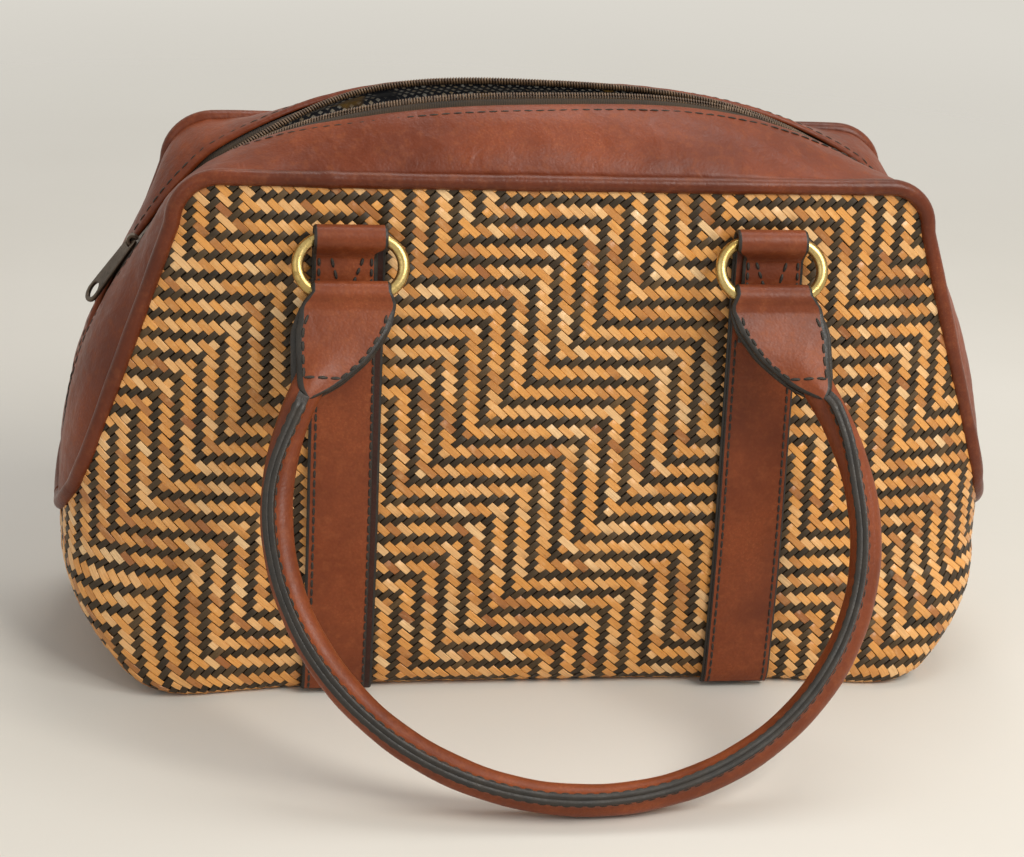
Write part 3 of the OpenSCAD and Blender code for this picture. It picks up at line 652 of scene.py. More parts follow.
class Mat:
    """Small helper around a node tree: n() adds a node, sets its sockets and links what it is given."""

    def __init__(self, name, **sockets):
        self.mat = bpy.data.materials.new(name)
        self.mat.use_nodes = True
        self.t = self.mat.node_tree
        self.t.nodes.clear()
        out = self.t.nodes.new("ShaderNodeOutputMaterial")
        self.bsdf = self.t.nodes.new("ShaderNodeBsdfPrincipled")
        self.t.links.new(self.bsdf.outputs[0], out.inputs[0])
        for k, v in sockets.items():
            self.bsdf.inputs[k.replace("_", " ")].default_value = v

    def put(self, node, key, value):
        socket = node.inputs[key]
        if isinstance(value, bpy.types.NodeSocket):
            self.t.links.new(value, socket)
        else:
            socket.default_value = value

    def n(self, kind, out=0, props=None, **inputs):
        node = self.t.nodes.new("ShaderNode" + kind)
        for k, v in (props or {}).items():
            setattr(node, k, v)
        for k, v in inputs.items():
            key = int(k[1:]) if k[0] == "i" and k[1:].isdigit() else k.replace("_", " ")
            self.put(node, key, v)
        return node.outputs[out]

    def coords(self):
        return self.n("TexCoord", 3)       # object coordinates, in metres

    def uv(self, scale, turn=0.0):
        """UVs along and across a strip, in units of 100 mm, scaled and turned."""
        strip = self.n("UVMap", 0, {"uv_map": "strip"})
        return self.n("Mapping", 0, Vector=strip, Scale=scale + (1.0,), Rotation=(0, 0, turn))

    def noise(self, scale, detail=3.0, rough=0.55, vec=None, distort=0.0):
        return self.n("TexNoise", 0, Vector=vec or self.coords(), Scale=scale, Detail=detail,
                      Roughness=rough, Distortion=distort)

    def math(self, op, a, b=0.0):
        return self.n("Math", 0, {"operation": op}, i0=a, i1=b)

    def span(self, value, a, b, c, d):
        """The value from a..b mapped to c..d, clamped."""
        return self.n("MapRange", 0, {"clamp": True}, Value=value, From_Min=a, From_Max=b, To_Min=c, To_Max=d)

    def blend(self, fac, a, b):
        node = self.t.nodes.new("ShaderNodeMix")
        node.data_type = "RGBA"
        self.put(node, 0, fac)
        self.put(node, 6, a)
        self.put(node, 7, b)
        return node.outputs[2]

    def bump(self, height, strength, distance, normal=None):
        node = self.t.nodes.new("ShaderNodeBump")
        node.inputs["Strength"].default_value = strength
        node.inputs["Distance"].default_value = distance
        self.put(node, "Height", height)
        if normal is not None:
            self.put(node, "Normal", normal)
        return node.outputs[0]

    def set(self, color, rough, normal):
        for key, value in (("Base Color", color), ("Roughness", rough), ("Normal", normal)):
            self.put(self.bsdf, key, value)
        return self.mat


def leather_material(name, dark, mid, pale, rough=(0.36, 0.56), crease=0.5):
    """Worn smooth leather: clouds of two tones, pale scuffs, pores and soft folds."""
    m = Mat(name, Specular_IOR_Level=0.27, Coat_Weight=0.05, Coat_Roughness=0.22)
    c = m.coords()
    cloud = m.noise(22, 4, 0.6, c)
    fine = m.noise(240, 5, 0.65, c)
    speck = m.noise(1300, 2, 0.5, c)
    tone = m.blend(m.span(cloud, 0.34, 0.66, 0.0, 1.0), dark, mid)
    tone = m.blend(m.span(fine, 0.5, 0.8, 0.0, 0.34), tone, pale)
    cells = m.n("TexVoronoi", 0, {"feature": "SMOOTH_F1"}, Vector=c, Scale=900.0, Smoothness=0.7)
    tone = m.blend(m.span(cells, 0.25, 0.75, 0.0, 0.30), tone, dark)
    folds = m.noise(70.0, 2.0, 0.45, c, 1.6)
    scuff = m.math("MULTIPLY", m.span(speck, 0.55, 0.75, 0.0, 1.0), m.span(cloud, 0.5, 0.7, 0.0, 0.5))
    tone = m.blend(scuff, tone, pale)
    low = m.bump(folds, crease, 0.0007)
    grain = m.math("ADD", m.math("MULTIPLY", cells, -0.7), m.math("MULTIPLY", speck, 0.5))
    normal = m.bump(grain, 0.42, 0.00025, low)
    return m.set(tone, m.span(fine, 0.3, 0.7, rough[0], rough[1]), normal)


def cane_material(name, deep, main, pale, rough, sheen):
    """Split cane with grain along the strip; the attribute tone gives each stitch its own tone, and its blue
    part paints shade, darkening what lies low where the strips dive under their neighbours."""
    m = Mat(name, Specular_IOR_Level=sheen)
    att = m.n("Attribute", 0, {"attribute_name": "tone", "attribute_type": "GEOMETRY"})
    parts = m.t.nodes.new("ShaderNodeSeparateColor")
    m.put(parts, 0, att)
    tone, hue, low = parts.outputs[0], parts.outputs[1], parts.outputs[2]
    grain = m.noise(1.0, 3, 0.6, m.uv((7.0, 190.0)))
    blotch = m.noise(1.0, 3, 0.6, m.uv((22.0, 34.0)))
    color = m.blend(m.span(tone, 0.0, 0.5, 0.0, 1.0), deep, main)
    color = m.blend(m.span(tone, 0.5, 1.0, 0.0, 1.0), color, pale)
    color = m.blend(m.span(grain, 0.35, 0.75, 0.0, 0.42), color, deep)
    color = m.blend(m.span(blotch, 0.55, 0.8, 0.0, 0.32), color, pale)
    color = m.blend(m.math("MULTIPLY", hue, 0.22), color, main)
    # painted shade: what lies low is darkened towards a dark brown
    color = m.blend(m.span(low, 0.1, 0.9, 0.0, 0.72), color, srgb(34, 25, 17))
    normal = m.bump(grain, 0.55, 0.00025)
    return m.set(color, m.span(blotch, 0.3, 0.7, rough[0], rough[1]), normal)


def plain_material(name, a, b, scale, rough, bump=0.2, distance=0.0003, **sockets):
    m = Mat(name, **sockets)
    c = m.coords()
    cloud = m.noise(scale, 4, 0.6, c)
    fine = m.noise(scale * 9, 3, 0.6, c)
    color = m.blend(m.span(cloud, 0.35, 0.65, 0.0, 1.0), a, b)
    color = m.blend(m.span(fine, 0.5, 0.8, 0.0, 0.4), color, a)
    return m.set(color, m.span(fine, 0.3, 0.7, rough[0], rough[1]), m.bump(fine, bump, distance))


def metal_material(name, main, worn, dirt, rough, metallic=1.0):
    m = Mat(name, Metallic=metallic)
    c = m.coords()
    cloud = m.noise(55, 4, 0.62, c)
    fine = m.noise(700, 4, 0.7, c)
    color = m.blend(m.span(cloud, 0.35, 0.65, 0.0, 1.0), main, worn)
    color = m.blend(m.span(fine, 0.56, 0.72, 0.0, 0.75), color, dirt)
    return m.set(color, m.span(fine, 0.3, 0.75, rough[0], rough[1]), m.bump(fine, 0.18, 0.00015))


def tape_material():
    m = Mat("zip_tape_cloth", Sheen_Weight=0.06, Specular_IOR_Level=0.2)
    weft, warp = (m.n("TexWave", 0, {"wave_type": "BANDS", "bands_direction": way}, Vector=vec, Scale=1.0,
                      Distortion=0.4)
                  for way, vec in (("X", m.uv((38.0, 12.0), 0.5)), ("Y", m.uv((12.0, 46.0)))))
    both = m.math("MULTIPLY", weft, warp)
    cloud = m.noise(60, 3, 0.6)
    color = m.blend(m.span(both, 0.0, 0.8, 0.0, 1.0), srgb(36, 28, 19), srgb(68, 54, 37))
    color = m.blend(m.span(cloud, 0.4, 0.7, 0.0, 0.5), color, srgb(78, 61, 42))
    return m.set(color, m.span(cloud, 0.3, 0.7, 0.72, 0.9), m.bump(both, 0.5, 0.0003))


def lining_material():
    """Dark cloth with a print of pale dots, bare patches and a few ochre ones."""
    m = Mat("lining_print", Sheen_Weight=0.2)
    brick = m.t.nodes.new("ShaderNodeTexBrick")
    brick.offset, brick.squash = 0.5, 1.0
    for key, value in {"Vector": m.uv((20.0, 20.0), 0.72), "Color1": srgb(252, 245, 226),
                       "Color2": srgb(238, 190, 104), "Mortar": srgb(46, 48, 58), "Scale": 1.0,
                       "Mortar Size": 0.14, "Mortar Smooth": 0.06, "Bias": -0.4, "Brick Width": 0.62,
                       "Row Height": 0.5}.items():
        m.put(brick, key, value)
    threads = m.noise(1.0, 2, 0.5, m.uv((160.0, 160.0)))
    patch = m.noise(30, 3, 0.6)
    color = m.blend(m.span(patch, 0.6, 0.68, 0.0, 1.0), brick.outputs[0], srgb(36, 38, 46))
    color = m.blend(m.span(m.noise(46, 2, 0.5), 0.6, 0.64, 0.0, 0.9), color, srgb(222, 168, 70))
    color = m.blend(m.span(threads, 0.4, 0.8, 0.0, 0.3), color, srgb(18, 19, 24))
    return m.set(color, m.span(threads, 0.3, 0.7, 0.75, 0.92), m.bump(threads, 0.35, 0.0003))


LEATHER = leather_material("leather_brown", srgb(104, 47, 22), srgb(140, 69, 35), srgb(172, 100, 56))
LEATHER_TOP = leather_material("leather_gusset", srgb(98, 41, 17), srgb(132, 60, 26), srgb(168, 94, 48),
                               crease=0.8)
LEATHER_PIPE = leather_material("leather_piping", srgb(86, 37, 17), srgb(116, 53, 26), srgb(164, 96, 54),
                                (0.28, 0.46), 0.35)
# base strip of the straps, coloured dark: painted shade where it shows as a band beside the face layer
STRAP_BASE_PAINTED_SHADE = leather_material("strap_base_painted_shade", srgb(44, 22, 15), srgb(64, 33, 23), srgb(86, 48, 34))
EDGE = plain_material("edge_paint", srgb(24, 20, 16), srgb(43, 36, 28), 160, (0.35, 0.6), 0.35, 0.0004)
THREAD = plain_material("thread_dark", srgb(30, 26, 21), srgb(57, 49, 39), 900, (0.55, 0.8), 0.5, 0.0002)
CANE_LIGHT = cane_material("cane_honey", srgb(156, 95, 50), srgb(239, 169, 86), srgb(251, 216, 162),
                           (0.24, 0.44), 0.5)
CANE_DARK = cane_material("cane_dark", srgb(38, 29, 17), srgb(65, 50, 30), srgb(114, 88, 54),
                          (0.4, 0.6), 0.36)
# dark brown backing: painted shade where it shows in the gaps between the strips
SHADE = plain_material("weave_backing_painted_shade", srgb(30, 22, 14), srgb(52, 38, 24), 240, (0.75, 0.95))
BRASS = metal_material("aged_brass", srgb(184, 154, 90), srgb(208, 184, 124), srgb(98, 78, 42),
                       (0.22, 0.44))
GUNMETAL = metal_material("gunmetal", srgb(76, 65, 56), srgb(110, 97, 84), srgb(38, 33, 28),
                          (0.28, 0.5), 0.9)
TAPE = tape_material()
COIL = plain_material("coil_brown", srgb(78, 58, 42), srgb(122, 96, 70), 300, (0.32, 0.5), 0.15, 0.0002)
LINING = lining_material()
BOARD = plain_material("board_grey", srgb(96, 82, 64), srgb(124, 108, 86), 90, (0.75, 0.9))

# ---------------------------------------------------------------- weave
def cells(columns, rows):
    """Half-cell numbers of the plait's cells, which lie in quincunx."""
    k, m = np.meshgrid(columns, rows, indexing="ij")
    even = np.mod(k - m, 2) == 0
    return k[even], m[even]


def weave_piece(name, k, m, place, valid, seed):
    v, f, mats, tone, uv, stitch = plait(place, valid, (k - m) // 2, (k + m) // 2, seed)
    if volume(v[:STITCH_PTS], stitch) < 0:
        f = f[:, ::-1]
    piece = Piece().add(v, f, mats, uv, closed=False)
    piece.make(name, [CANE_LIGHT, CANE_DARK], "bag", "cane", tone=tone, sharp=44)


def weave_pieces():
    k, m = cells(np.arange(TURN), np.arange(-5, 107))
    left = k >= 3 * TURN // 4
    front = left | (k < TURN // 4)
    weave_piece("weave_front", np.where(left, k - TURN, k)[front], m[front], wall, on_wall, 21)
    weave_piece("weave_back", k[~front], m[~front], wall, on_wall, 41)
    k, m = cells(np.arange(-70, 71), np.arange(-32, 33))
    weave_piece("weave_base", k, m, base_point, on_base, 61)


def shell_piece():
    """Backing shell: the body of the wall behind the strips, coloured dark as painted shade in the gaps
    between them, in two halves welded together.
    """
    depth_out, depth_in, floor_out, floor_in = 0.95, 2.3, 0.9, 2.4
    rows = np.concatenate([[0, 1, 2.5, 4.5, 7, 9.5], np.linspace(12, TIP_Z, 10),
                           TIP_Z + 40 * (np.linspace(0.1, 1, 12)) ** 2, np.linspace(108, CORNER_Z, 9),
                           CORNER_Z + CORNER_R * np.sin(np.linspace(0.2, math.pi / 2 - 0.02, 7))])
    n, m = len(rows), 73
    g = np.array([panel_edge(h) for h in rows])[:, None] * np.linspace(-1, 1, m)[None, :]
    z = np.repeat(rows[:, None], m, 1)
    outer, inner = skin(z, g, depth_out), skin(z, g, depth_in)
    outer[0, :, 2] = outer[1, :, 2] = floor_out
    inner[..., 2] = np.maximum(inner[..., 2], floor_in)
    quad = grid_quads(n, m)
    w = n * m
    rim = []
    for k in range(n - 1):
        if rows[k + 1] > TIP_Z:
            a, b = k * m, (k + 1) * m
            rim += [[a, b, w + b, w + a], [b + m - 1, a + m - 1, w + a + m - 1, w + b + m - 1]]
    e = (n - 1) * m
    rim += [[e + i, e + i + 1, w + e + i + 1, w + e + i] for i in range(m - 1)]
    both = np.concatenate([outer.reshape(-1, 3), inner.reshape(-1, 3)])
    faces = np.concatenate([quad, (quad + w)[:, ::-1], np.array(rim)[:, ::-1]])
    piece = Piece()
    for turn in (1.0, -1.0):
        piece.add(both * np.array([turn, turn, 1]), faces, 0, closed=False)
    half = piece.n // 2
    base = []
    for i in range(m - 1):
        base.append([i + 1, i, half + m - 1 - i, half + m - 2 - i])
        base.append([w + i, w + i + 1, half + w + m - 2 - i, half + w + m - 1 - i])
    piece.join(base)
    piece.make("weave_shell", [SHADE], "bag", "cane", ["woven_body"], weld=True)


weave_pieces()
shell_piece()
base_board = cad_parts["base_board"]
base_board.data.materials.clear()
base_board.data.materials.append(BOARD)

# ---------------------------------------------------------------- leather, piping and zip
strip = Strip(321)
ALL = np.arange(len(strip.u))
# stitches: length, gap and thread radius
ZIP_STITCH, STRAP_STITCH, FOLD_STITCH = (3.7, 0.9, 0.36), (3.4, 0.3, 0.5), (3.0, 0.8, 0.62)
FIN_STITCH, TAB_STITCH = (3.4, 1.2, 0.42), (3.4, 1.0, 0.6)


def crease(points, normals, amount, seed):
    """Slow and fine waves of worn leather, in a fixed order."""
    r = np.random.default_rng(seed)
    out = np.zeros(points.shape[:-1])
    for scale, size in ((38.0, 0.5), (17.0, 0.3), (8.0, 0.2)):
        for _ in range(4):
            d = unit(r.normal(size=3)) * 2 * math.pi / (scale * r.uniform(0.8, 1.25))
            out += size / 4 * np.sin(points @ d + r.uniform(0, 6.3))
    return points + normals * (out * amount)[..., None]


def leather_piece(name, node, flip, seed):
    """Gusset and top strip in one: from under the piping to a turned edge beside the zip."""
    tucked, turned = 1.3, 0.45
    k = ALL[strip.u >= U_STRIP]
    l = strip.l[k]
    a = ((strip.leather_from(k) - tucked) / l)[:, None]
    b = (1 - strip.zip_gap(k) / l)[:, None]
    v_out = mix(a, b, np.linspace(0, 1, 18)[None] ** 0.9)
    top = strip.leather(k, v_out, np.zeros_like(v_out))
    top = crease(top, np.broadcast_to(strip.lift[k][:, None], top.shape), 0.75, seed)
    v_in = mix(a, b, np.linspace(1, 0, 8)[None])
    under = strip.leather(k, v_in, np.full_like(v_in, LEATHER_T))
    ones = np.ones((len(k), 1))
    edge = strip.leather(k, b + (turned / l)[:, None] * np.ones((1, 3)), np.array([[0.35, 1.0, 1.65]]) * ones)
    start = strip.leather(k, a, LEATHER_T / 2 * ones)
    v, f = loft(np.concatenate([top, edge, under, start], 1))
    piece = Piece().add(v, f)
    # stitching along the zip, and on along the closed seam below it
    near = ALL[strip.u >= U_ZIP - 0.01]
    line = strip.line(near, 1 - (strip.zip_gap(near) + 3.0) / strip.l[near])
    thread(piece, line, strip.lift[near], 1, *ZIP_STITCH)
    low = ALL[(strip.u >= U_STRIP + 0.02) & (strip.u < U_ZIP - 0.02)]
    for s in (-1, 1):
        idx = low[strip.side[low] == s]
        line = strip.line(idx, 1 - (strip.zip_gap(idx) + 2.4) / strip.l[idx])
        thread(piece, resample(line, 1.0)[0], np.array([s, -0.25, 0.1]), 1, *ZIP_STITCH)
    piece.make(name, [LEATHER_TOP, THREAD], "bag", "leather", [node], flip_y=flip)


leather_piece("gusset_front", "front_gusset", False, 3)
leather_piece("gusset_back", "back_gusset", True, 4)


def piping_piece(name, node, flip, seed):
    """Piping with a slightly uneven roll and one seam."""
    path, s = resample(strip.p, 2.2)
    r = np.random.default_rng(seed)
    radius = PIPE_R * (1 + 0.03 * np.sin(s / 11 + r.uniform(0, 6)) + 0.018 * np.sin(s / 4.3))
    seam = np.exp(-0.5 * ((s - 0.36 * s[-1]) / 1.6) ** 2)
    v, f = tube(path, radius * (1 + 0.14 * seam), 16, np.array([0.15, 1.0, 0.1]))
    Piece().add(v, f).make(name, [LEATHER_PIPE], "bag", "leather_dark", [node], flip_y=flip)


piping_piece("piping_front", "front_piping", False, 5)
piping_piece("piping_back", "back_piping", True, 6)


COIL_PITCH, COIL_WIRE, COIL_CORD = 1.12, 0.40, 0.9
COIL_HIGH, COIL_WIDE, COIL_SHIFT = 1.0, 1.5, 0.75      # half sizes of a turn, and how far it reaches inwards
TAPE_T = 0.7


def zip_pieces(side, flip):
    k = ALL[strip.u >= U_ZIP - TAPE_OVER]
    l = strip.l[k]
    s = lengths(strip.q[k])
    close = soft((U_ZIP + 0.004 - strip.u[k]) / 0.01)          # beyond the coil the tapes meet
    past = close * (np.abs(strip.q[k, 1]) - 0.1) - 0.1
    vs = np.stack([1 - TAPE_W / l, 1 - 7.0 / l, 1 - 3.5 / l, 1 + past / l], 1)
    depth = np.array([[3.2, 2.6, 2.3, 2.25]]) * np.ones((len(k), 1))
    top = strip.leather(k, vs, depth)
    low = strip.leather(k, vs[:, ::-1], depth[:, ::-1] + TAPE_T)
    v, f = loft(np.concatenate([top, low], 1))
    across = np.array([0, 4, 7.5, 10.6, 10.6, 7.5, 4, 0])
    uv = np.zeros((len(v), 2))
    uv[:len(k) * len(across)] = np.stack([np.repeat(s, len(across)), np.tile(across, len(k))], 1)
    Piece().add(v, f, 0, uv).make("tape_" + side, [TAPE], "bag", "zip_tape", ["zip_tape_" + side], flip_y=flip)
    # coil: one wound thread of nylon round a cord
    k = ALL[strip.u >= U_ZIP]
    line, s = resample(strip.line(k, np.ones(len(k)), COIL_IN), 0.14)
    nrm = places(np.linspace(0, 1, len(line)), np.linspace(0, 1, len(k)), strip.lift[k])
    t = tangents(line)
    nrm = unit(nrm - t * (nrm * t).sum(1)[:, None])
    out = np.cross(t, nrm)
    out *= np.sign(out[:, 1:2])
    a = 2 * math.pi * s / COIL_PITCH + (math.pi if flip else 0)
    helix = line + nrm * (COIL_HIGH * np.cos(a))[:, None] + out * (COIL_WIDE * np.sin(a) + COIL_SHIFT)[:, None]
    v, f = tube(helix, COIL_WIRE, 5, np.array([0.31, 0.62, 0.72]))
    piece = Piece().add(v, f)
    v, f = tube(resample(line, 3.0)[0], COIL_CORD, 8, np.array([0.1, 1.0, 0.15]))
    piece.add(v, f, 1)
    piece.make("coil_" + side, [COIL, TAPE], "bag", "zip_coil", ["zip_coil_" + side], flip_y=flip)


zip_pieces("front", False)
zip_pieces("back", True)


# ---------------------------------------------------------------- plates, straps, rings and handles
def plate(outline, holes, thick, bevel, place):
    """A flat plate with holes and rounded edges, as vertices and quads in mm; place maps local points."""
    curve = bpy.data.curves.new("plate", "CURVE")
    curve.dimensions, curve.fill_mode = "2D", "BOTH"
    curve.extrude, curve.bevel_depth, curve.bevel_resolution = thick / 2 - bevel, bevel, 2
    curve.offset = -bevel
    for pts in [outline] + holes:
        sp = curve.splines.new("POLY")
        sp.points.add(len(pts) - 1)
        for p, (x, y) in zip(sp.points, pts):
            p.co = (x, y, 0, 1)
        sp.use_cyclic_u = True
    obj = add_object("plate", curve)
    mesh = bpy.data.meshes.new_from_object(obj.evaluated_get(bpy.context.evaluated_depsgraph_get()))
    v = np.array([p.co for p in mesh.vertices])
    f = []
    for p in mesh.polygons:
        q = list(p.vertices)
        f += [q] if len(q) == 4 else [[q[0], q[k], q[k + 1], q[k + 1]] for k in range(1, len(q) - 1)]
    bpy.data.objects.remove(obj)
    bpy.data.curves.remove(curve)
    bpy.data.meshes.remove(mesh)
    return place(v), np.array(f)


def circle(cx, cy, r, n=24, a0=0.0, a1=360.0, close=False):
    a = np.radians(np.linspace(a0, a1, n, endpoint=close))
    return [(cx + r * math.cos(t), cy + r * math.sin(t)) for t in a]


def rounded(x0, y0, x1, y1, r, n=5):
    pts = []
    for cx, cy, a in ((x1 - r, y1 - r, 0), (x0 + r, y1 - r, 90), (x0 + r, y0 + r, 180), (x1 - r, y0 + r, 270)):
        pts += circle(cx, cy, r, n, a, a + 90, True)
    return pts


def strap_back(z):
    return np.minimum(panel_y(STRAP_X - STRAP_W / 2, z), panel_y(STRAP_X + STRAP_W / 2, z)) - RIDGE_H - SEAT


LOOP_R = BORE_R + STRAP_T
LOOP_Y = float(strap_back(np.array(LOOP_Z))) - LOOP_R
PIVOT_Y = LOOP_Y - 2 * RING_C * math.sin(math.radians(RING_TILT))
PIVOT_Z = LOOP_Z - 2 * RING_C * math.cos(math.radians(RING_TILT))
PAINTED = [0, 5, 6, 7, 8, 9, 14, 15, 16, 17]
ACROSS, INWARD, UPWARD = np.eye(3)


def in_plane(yz):
    """Points (y, z) in the plane X = 0."""
    yz = np.asarray(yz, float)
    return np.stack([np.zeros(len(yz)), yz[:, 0], yz[:, 1]], 1)


def ribbon(path, left, right, thick, margin=0.3):
    """Loops of a flat leather strip along a path in a plane of constant X; left and right are its edges.
    The sides listed in PAINTED are the cut edges and a rim of the given width on both faces."""
    n = np.cross(tangents(path), ACROSS)
    h = np.broadcast_to(np.asarray(thick, float) / 2, (len(path),))
    e = np.minimum(h * 0.8, 0.9)
    half, mid = np.maximum((right - left) / 2, 0.9), (right + left) / 2
    flat = np.maximum(half - e, 0.3 * half)
    face = np.maximum(flat - margin, 0.25 * half)
    across = [-flat, -face, -face / 2, 0 * face, face / 2, face, flat]
    section_x = across + [half, half] + across[::-1] + [-half, -half]
    section_z = [1.0] * 7 + [0.45, -0.45] + [-1.0] * 7 + [-0.45, 0.45]
    return np.stack([path + ACROSS * (mid + q)[:, None] + n * (z * h)[:, None]
                     for q, z in zip(section_x, section_z)], 1)


def ribbon_faces(loops, mat, edge_mat):
    """Mesh of a ribbon's loops with the materials of its faces; mat may differ from station to station."""
    v, f = loft(loops)
    m = loops.shape[1]
    mats = np.full(len(f), edge_mat)
    ring = np.tile(np.arange(m), len(loops) - 1)
    faces = np.repeat(np.broadcast_to(mat, (len(loops) - 1,)), m)
    mats[:len(ring)] = np.where(np.isin(ring, PAINTED), edge_mat, faces)
    return v, f, mats


def curve_through(points, step):
    """Smooth line through points (Catmull-Rom), evenly spaced."""
    p = np.asarray(points, float)
    q = np.concatenate([2 * p[:1] - p[1:2], p, 2 * p[-1:] - p[-2:-1]])
    out = []
    for k in range(1, len(q) - 2):
        t = np.linspace(0, 1, 12, endpoint=False)[:, None]
        a, b, c, d = q[k - 1:k + 3]
        out.append(0.5 * (2 * b + (c - a) * t + (2 * a - 5 * b + 4 * c - d) * t * t
                          + (3 * b - a - 3 * c + d) * t ** 3))
    out = np.concatenate(out + [p[-1:]])
    return resample(out, step)[0]


def strap_piece(name, node, s, flip):
    """Strap on the left (s = -1) or right: a band up the panel, rolled over the ring and sewn down, and a face
    layer on it."""
    piece = Piece()
    inner = -s  # the side of the strap that faces the middle of the bag
    base_t, over_t, fold_t, narrower = 1.5, 0.9, 1.9, 3.6
    y0 = float(strap_back(BASE_R))
    tail_r = BASE_R + RIDGE_H + SEAT

    def tail(depth):
        """Lower end, which follows the turn at the base."""
        a = np.radians(np.linspace(38, 4, 8))
        r = tail_r + depth
        return [(y0 + tail_r - r * math.cos(t), BASE_R - r * math.sin(t)) for t in a]

    zs = np.concatenate([np.linspace(BASE_R, BOW_Z, 9), np.linspace(95, LOOP_Z - 4, 7)])
    c_base = base_t / 2
    up = [(float(strap_back(z)) - c_base, z) for z in zs]
    r_mid = LOOP_R - c_base
    roll = [(LOOP_Y + r_mid * math.cos(a), LOOP_Z + r_mid * math.sin(a))
            for a in np.radians((0, 30, 60, 90, 120, 150, 180, 208, 232))]
    down = [(float(strap_back(z)) - STRAP_T - 1.0, z) for z in (180.5, 176, 168, 160, 152, LOOP_Z - FOLD_LEN)]
    line = curve_through(in_plane(tail(c_base) + up + roll + down), 1.6)
    x0 = s * STRAP_X

    def sides(to_inner, to_outer):
        """Left and right edge for the distances of the inner and the outer edge from the middle."""
        return (x0 - to_inner, x0 + to_outer) if inner < 0 else (x0 - to_outer, x0 + to_inner)

    along = np.arange(len(line)) - np.argmax(line[:, 2])
    drop = soft((along - 5) / 3.0)   # beyond the roll the end is cut narrower
    left, right = sides(STRAP_W / 2 - narrower * drop, STRAP_W / 2 - 0.2 * drop)
    thick = mix(base_t, fold_t, soft((along + 4) / 6))
    # below the roll the base strip is coloured dark, painted shade where it shows beside the face layer
    shade = np.where(along[:-1] >= -7, 0, 3)      # from the roll on it is the face leather
    v, f, mats = ribbon_faces(ribbon(line, left, right, thick, 0.35), shade, 1)
    piece.add(v, f, mats)
    # face layer on the strap, set back from the inner edge; on the left strap it is set back 3 mm, so that the
    # dark base strip shows there as a band of painted shade
    rise = [(y - c_base - over_t / 2, z) for y, z in up]
    face = curve_through(in_plane(tail(base_t + over_t / 2)[2:] + rise), 4.0)
    w_in, w_out = STRAP_W / 2 - (3.0 if s < 0 else 0.9), STRAP_W / 2 - 0.5
    lo, hi = (np.full(len(face), x) for x in sides(w_in, w_out))
    v, f, mats = ribbon_faces(ribbon(face, lo, hi, over_t, 0.2), 0, 1)
    piece.add(v, f, mats)
    # stitching down both edges, up to the fold
    n = np.cross(tangents(face), ACROSS)
    n *= np.sign(-n[:, 1:2])
    below = face[:, 2] < 150
    for dx in (inner * (w_in - (0.8 if s < 0 else 2.1)), -inner * (w_out - 2.1)):
        row = face[below] + n[below] * over_t / 2 + ACROSS * (x0 + dx)
        thread(piece, row, n[below], 2, *STRAP_STITCH)
    # stitching on the fold: a V, both edges and the end
    high, low, tip = 180, 149.5, 163
    e_in, e_out = inner * (STRAP_W / 2 - narrower - 2.0), -inner * (STRAP_W / 2 - 2.4)
    for (xa, za), (xb, zb) in (((e_in * 0.62, high), (-inner * 1.2, tip)),
                               ((e_out * 0.60, high), (-inner * 2.2, tip)),
                               ((e_in, high), (e_in, low)), ((e_out, high), (e_out, low)),
                               ((e_in, low), (e_out, low))):
        x, z = np.linspace(xa, xb, 9), np.linspace(za, zb, 9)
        row = np.stack([x0 + x, strap_back(z) - STRAP_T - 1.0 - fold_t / 2, z], 1)
        thread(piece, row, np.array([0, -1.0, 0.12]), 2, *FOLD_STITCH)
    piece.make(name, [LEATHER, EDGE, THREAD, STRAP_BASE_PAINTED_SHADE], "bag", "leather", [node], flip_y=flip, sharp=50)


def tilt(points, angle, origin):
    """From a drawn frame (X across, Y down, Z back) to the bag: turned about X by -90 - angle."""
    p = np.asarray(points, float)
    y, z = turned(p[..., 1], p[..., 2], math.radians(-90 - angle))
    return np.stack([p[..., 0], y, z], -1) + np.array(origin)


def ring_piece(name, node, body, s, flip):
    """Oval ring of wire: two straight bars and two half circles."""
    half, c = (RING_W - RING_H) / 2, RING_C
    bar = np.linspace(-half, half, 12, endpoint=False)
    a = np.linspace(0, math.pi, 36, endpoint=False)
    x = np.concatenate([bar, half + c * np.sin(a), -bar, -half - c * np.sin(a)])
    y = np.concatenate([0 * bar, c - c * np.cos(a), 0 * bar + 2 * c, c + c * np.cos(a)])
    v, f = tube(np.stack([x, y, 0 * x], 1), WIRE_R, 20, UPWARD, closed=True)
    v = tilt(v, RING_TILT, (s * STRAP_X, LOOP_Y, LOOP_Z))
    Piece().add(v, f).make(name, [BRASS], body, "brass", [node], flip_y=flip)


FOUR = [(side, flip, word, s) for side, flip in (("front", False), ("back", True))
        for word, s in (("left", -1), ("right", 1))]
for side, flip, word, s in FOUR:
    strap_piece(f"strap_{side}_{word}", f"{side}_strap_{word}", s, flip)
for side, flip, word, s in FOUR:
    ring_piece(f"ring_{side}_{word}", f"{side}_ring_{word}", f"{side}_{word}_link", s, flip)

HANDLE_LEN = (PIVOT_Z - TUBE_R - SEAT) / math.cos(math.radians(HANDLE_LEAN))
TIP_X, TIP_Y, WIDE_Y = STRAP_X + TAB_SPLAY, TAB_LEN - 4, 0.46 * HANDLE_LEN
FIN_ROLL = math.radians(24.0)


def bend_half(t):
    """Right half of the handle's line in its own plane, from the tab's tip to the middle of the bend."""
    f = 1 - t / 0.25
    up = np.stack([HANDLE_W / 2 - (HANDLE_W / 2 - TIP_X) * f * f, mix(WIDE_Y, TIP_Y, f), 0 * t], -1)
    a = np.radians(120 * (t - 0.25))
    low = np.stack([HANDLE_W / 2 * np.cos(a), WIDE_Y + (HANDLE_LEN - WIDE_Y) * np.sin(a), 0 * t], -1)
    return np.where((t < 0.25)[:, None], up, low)


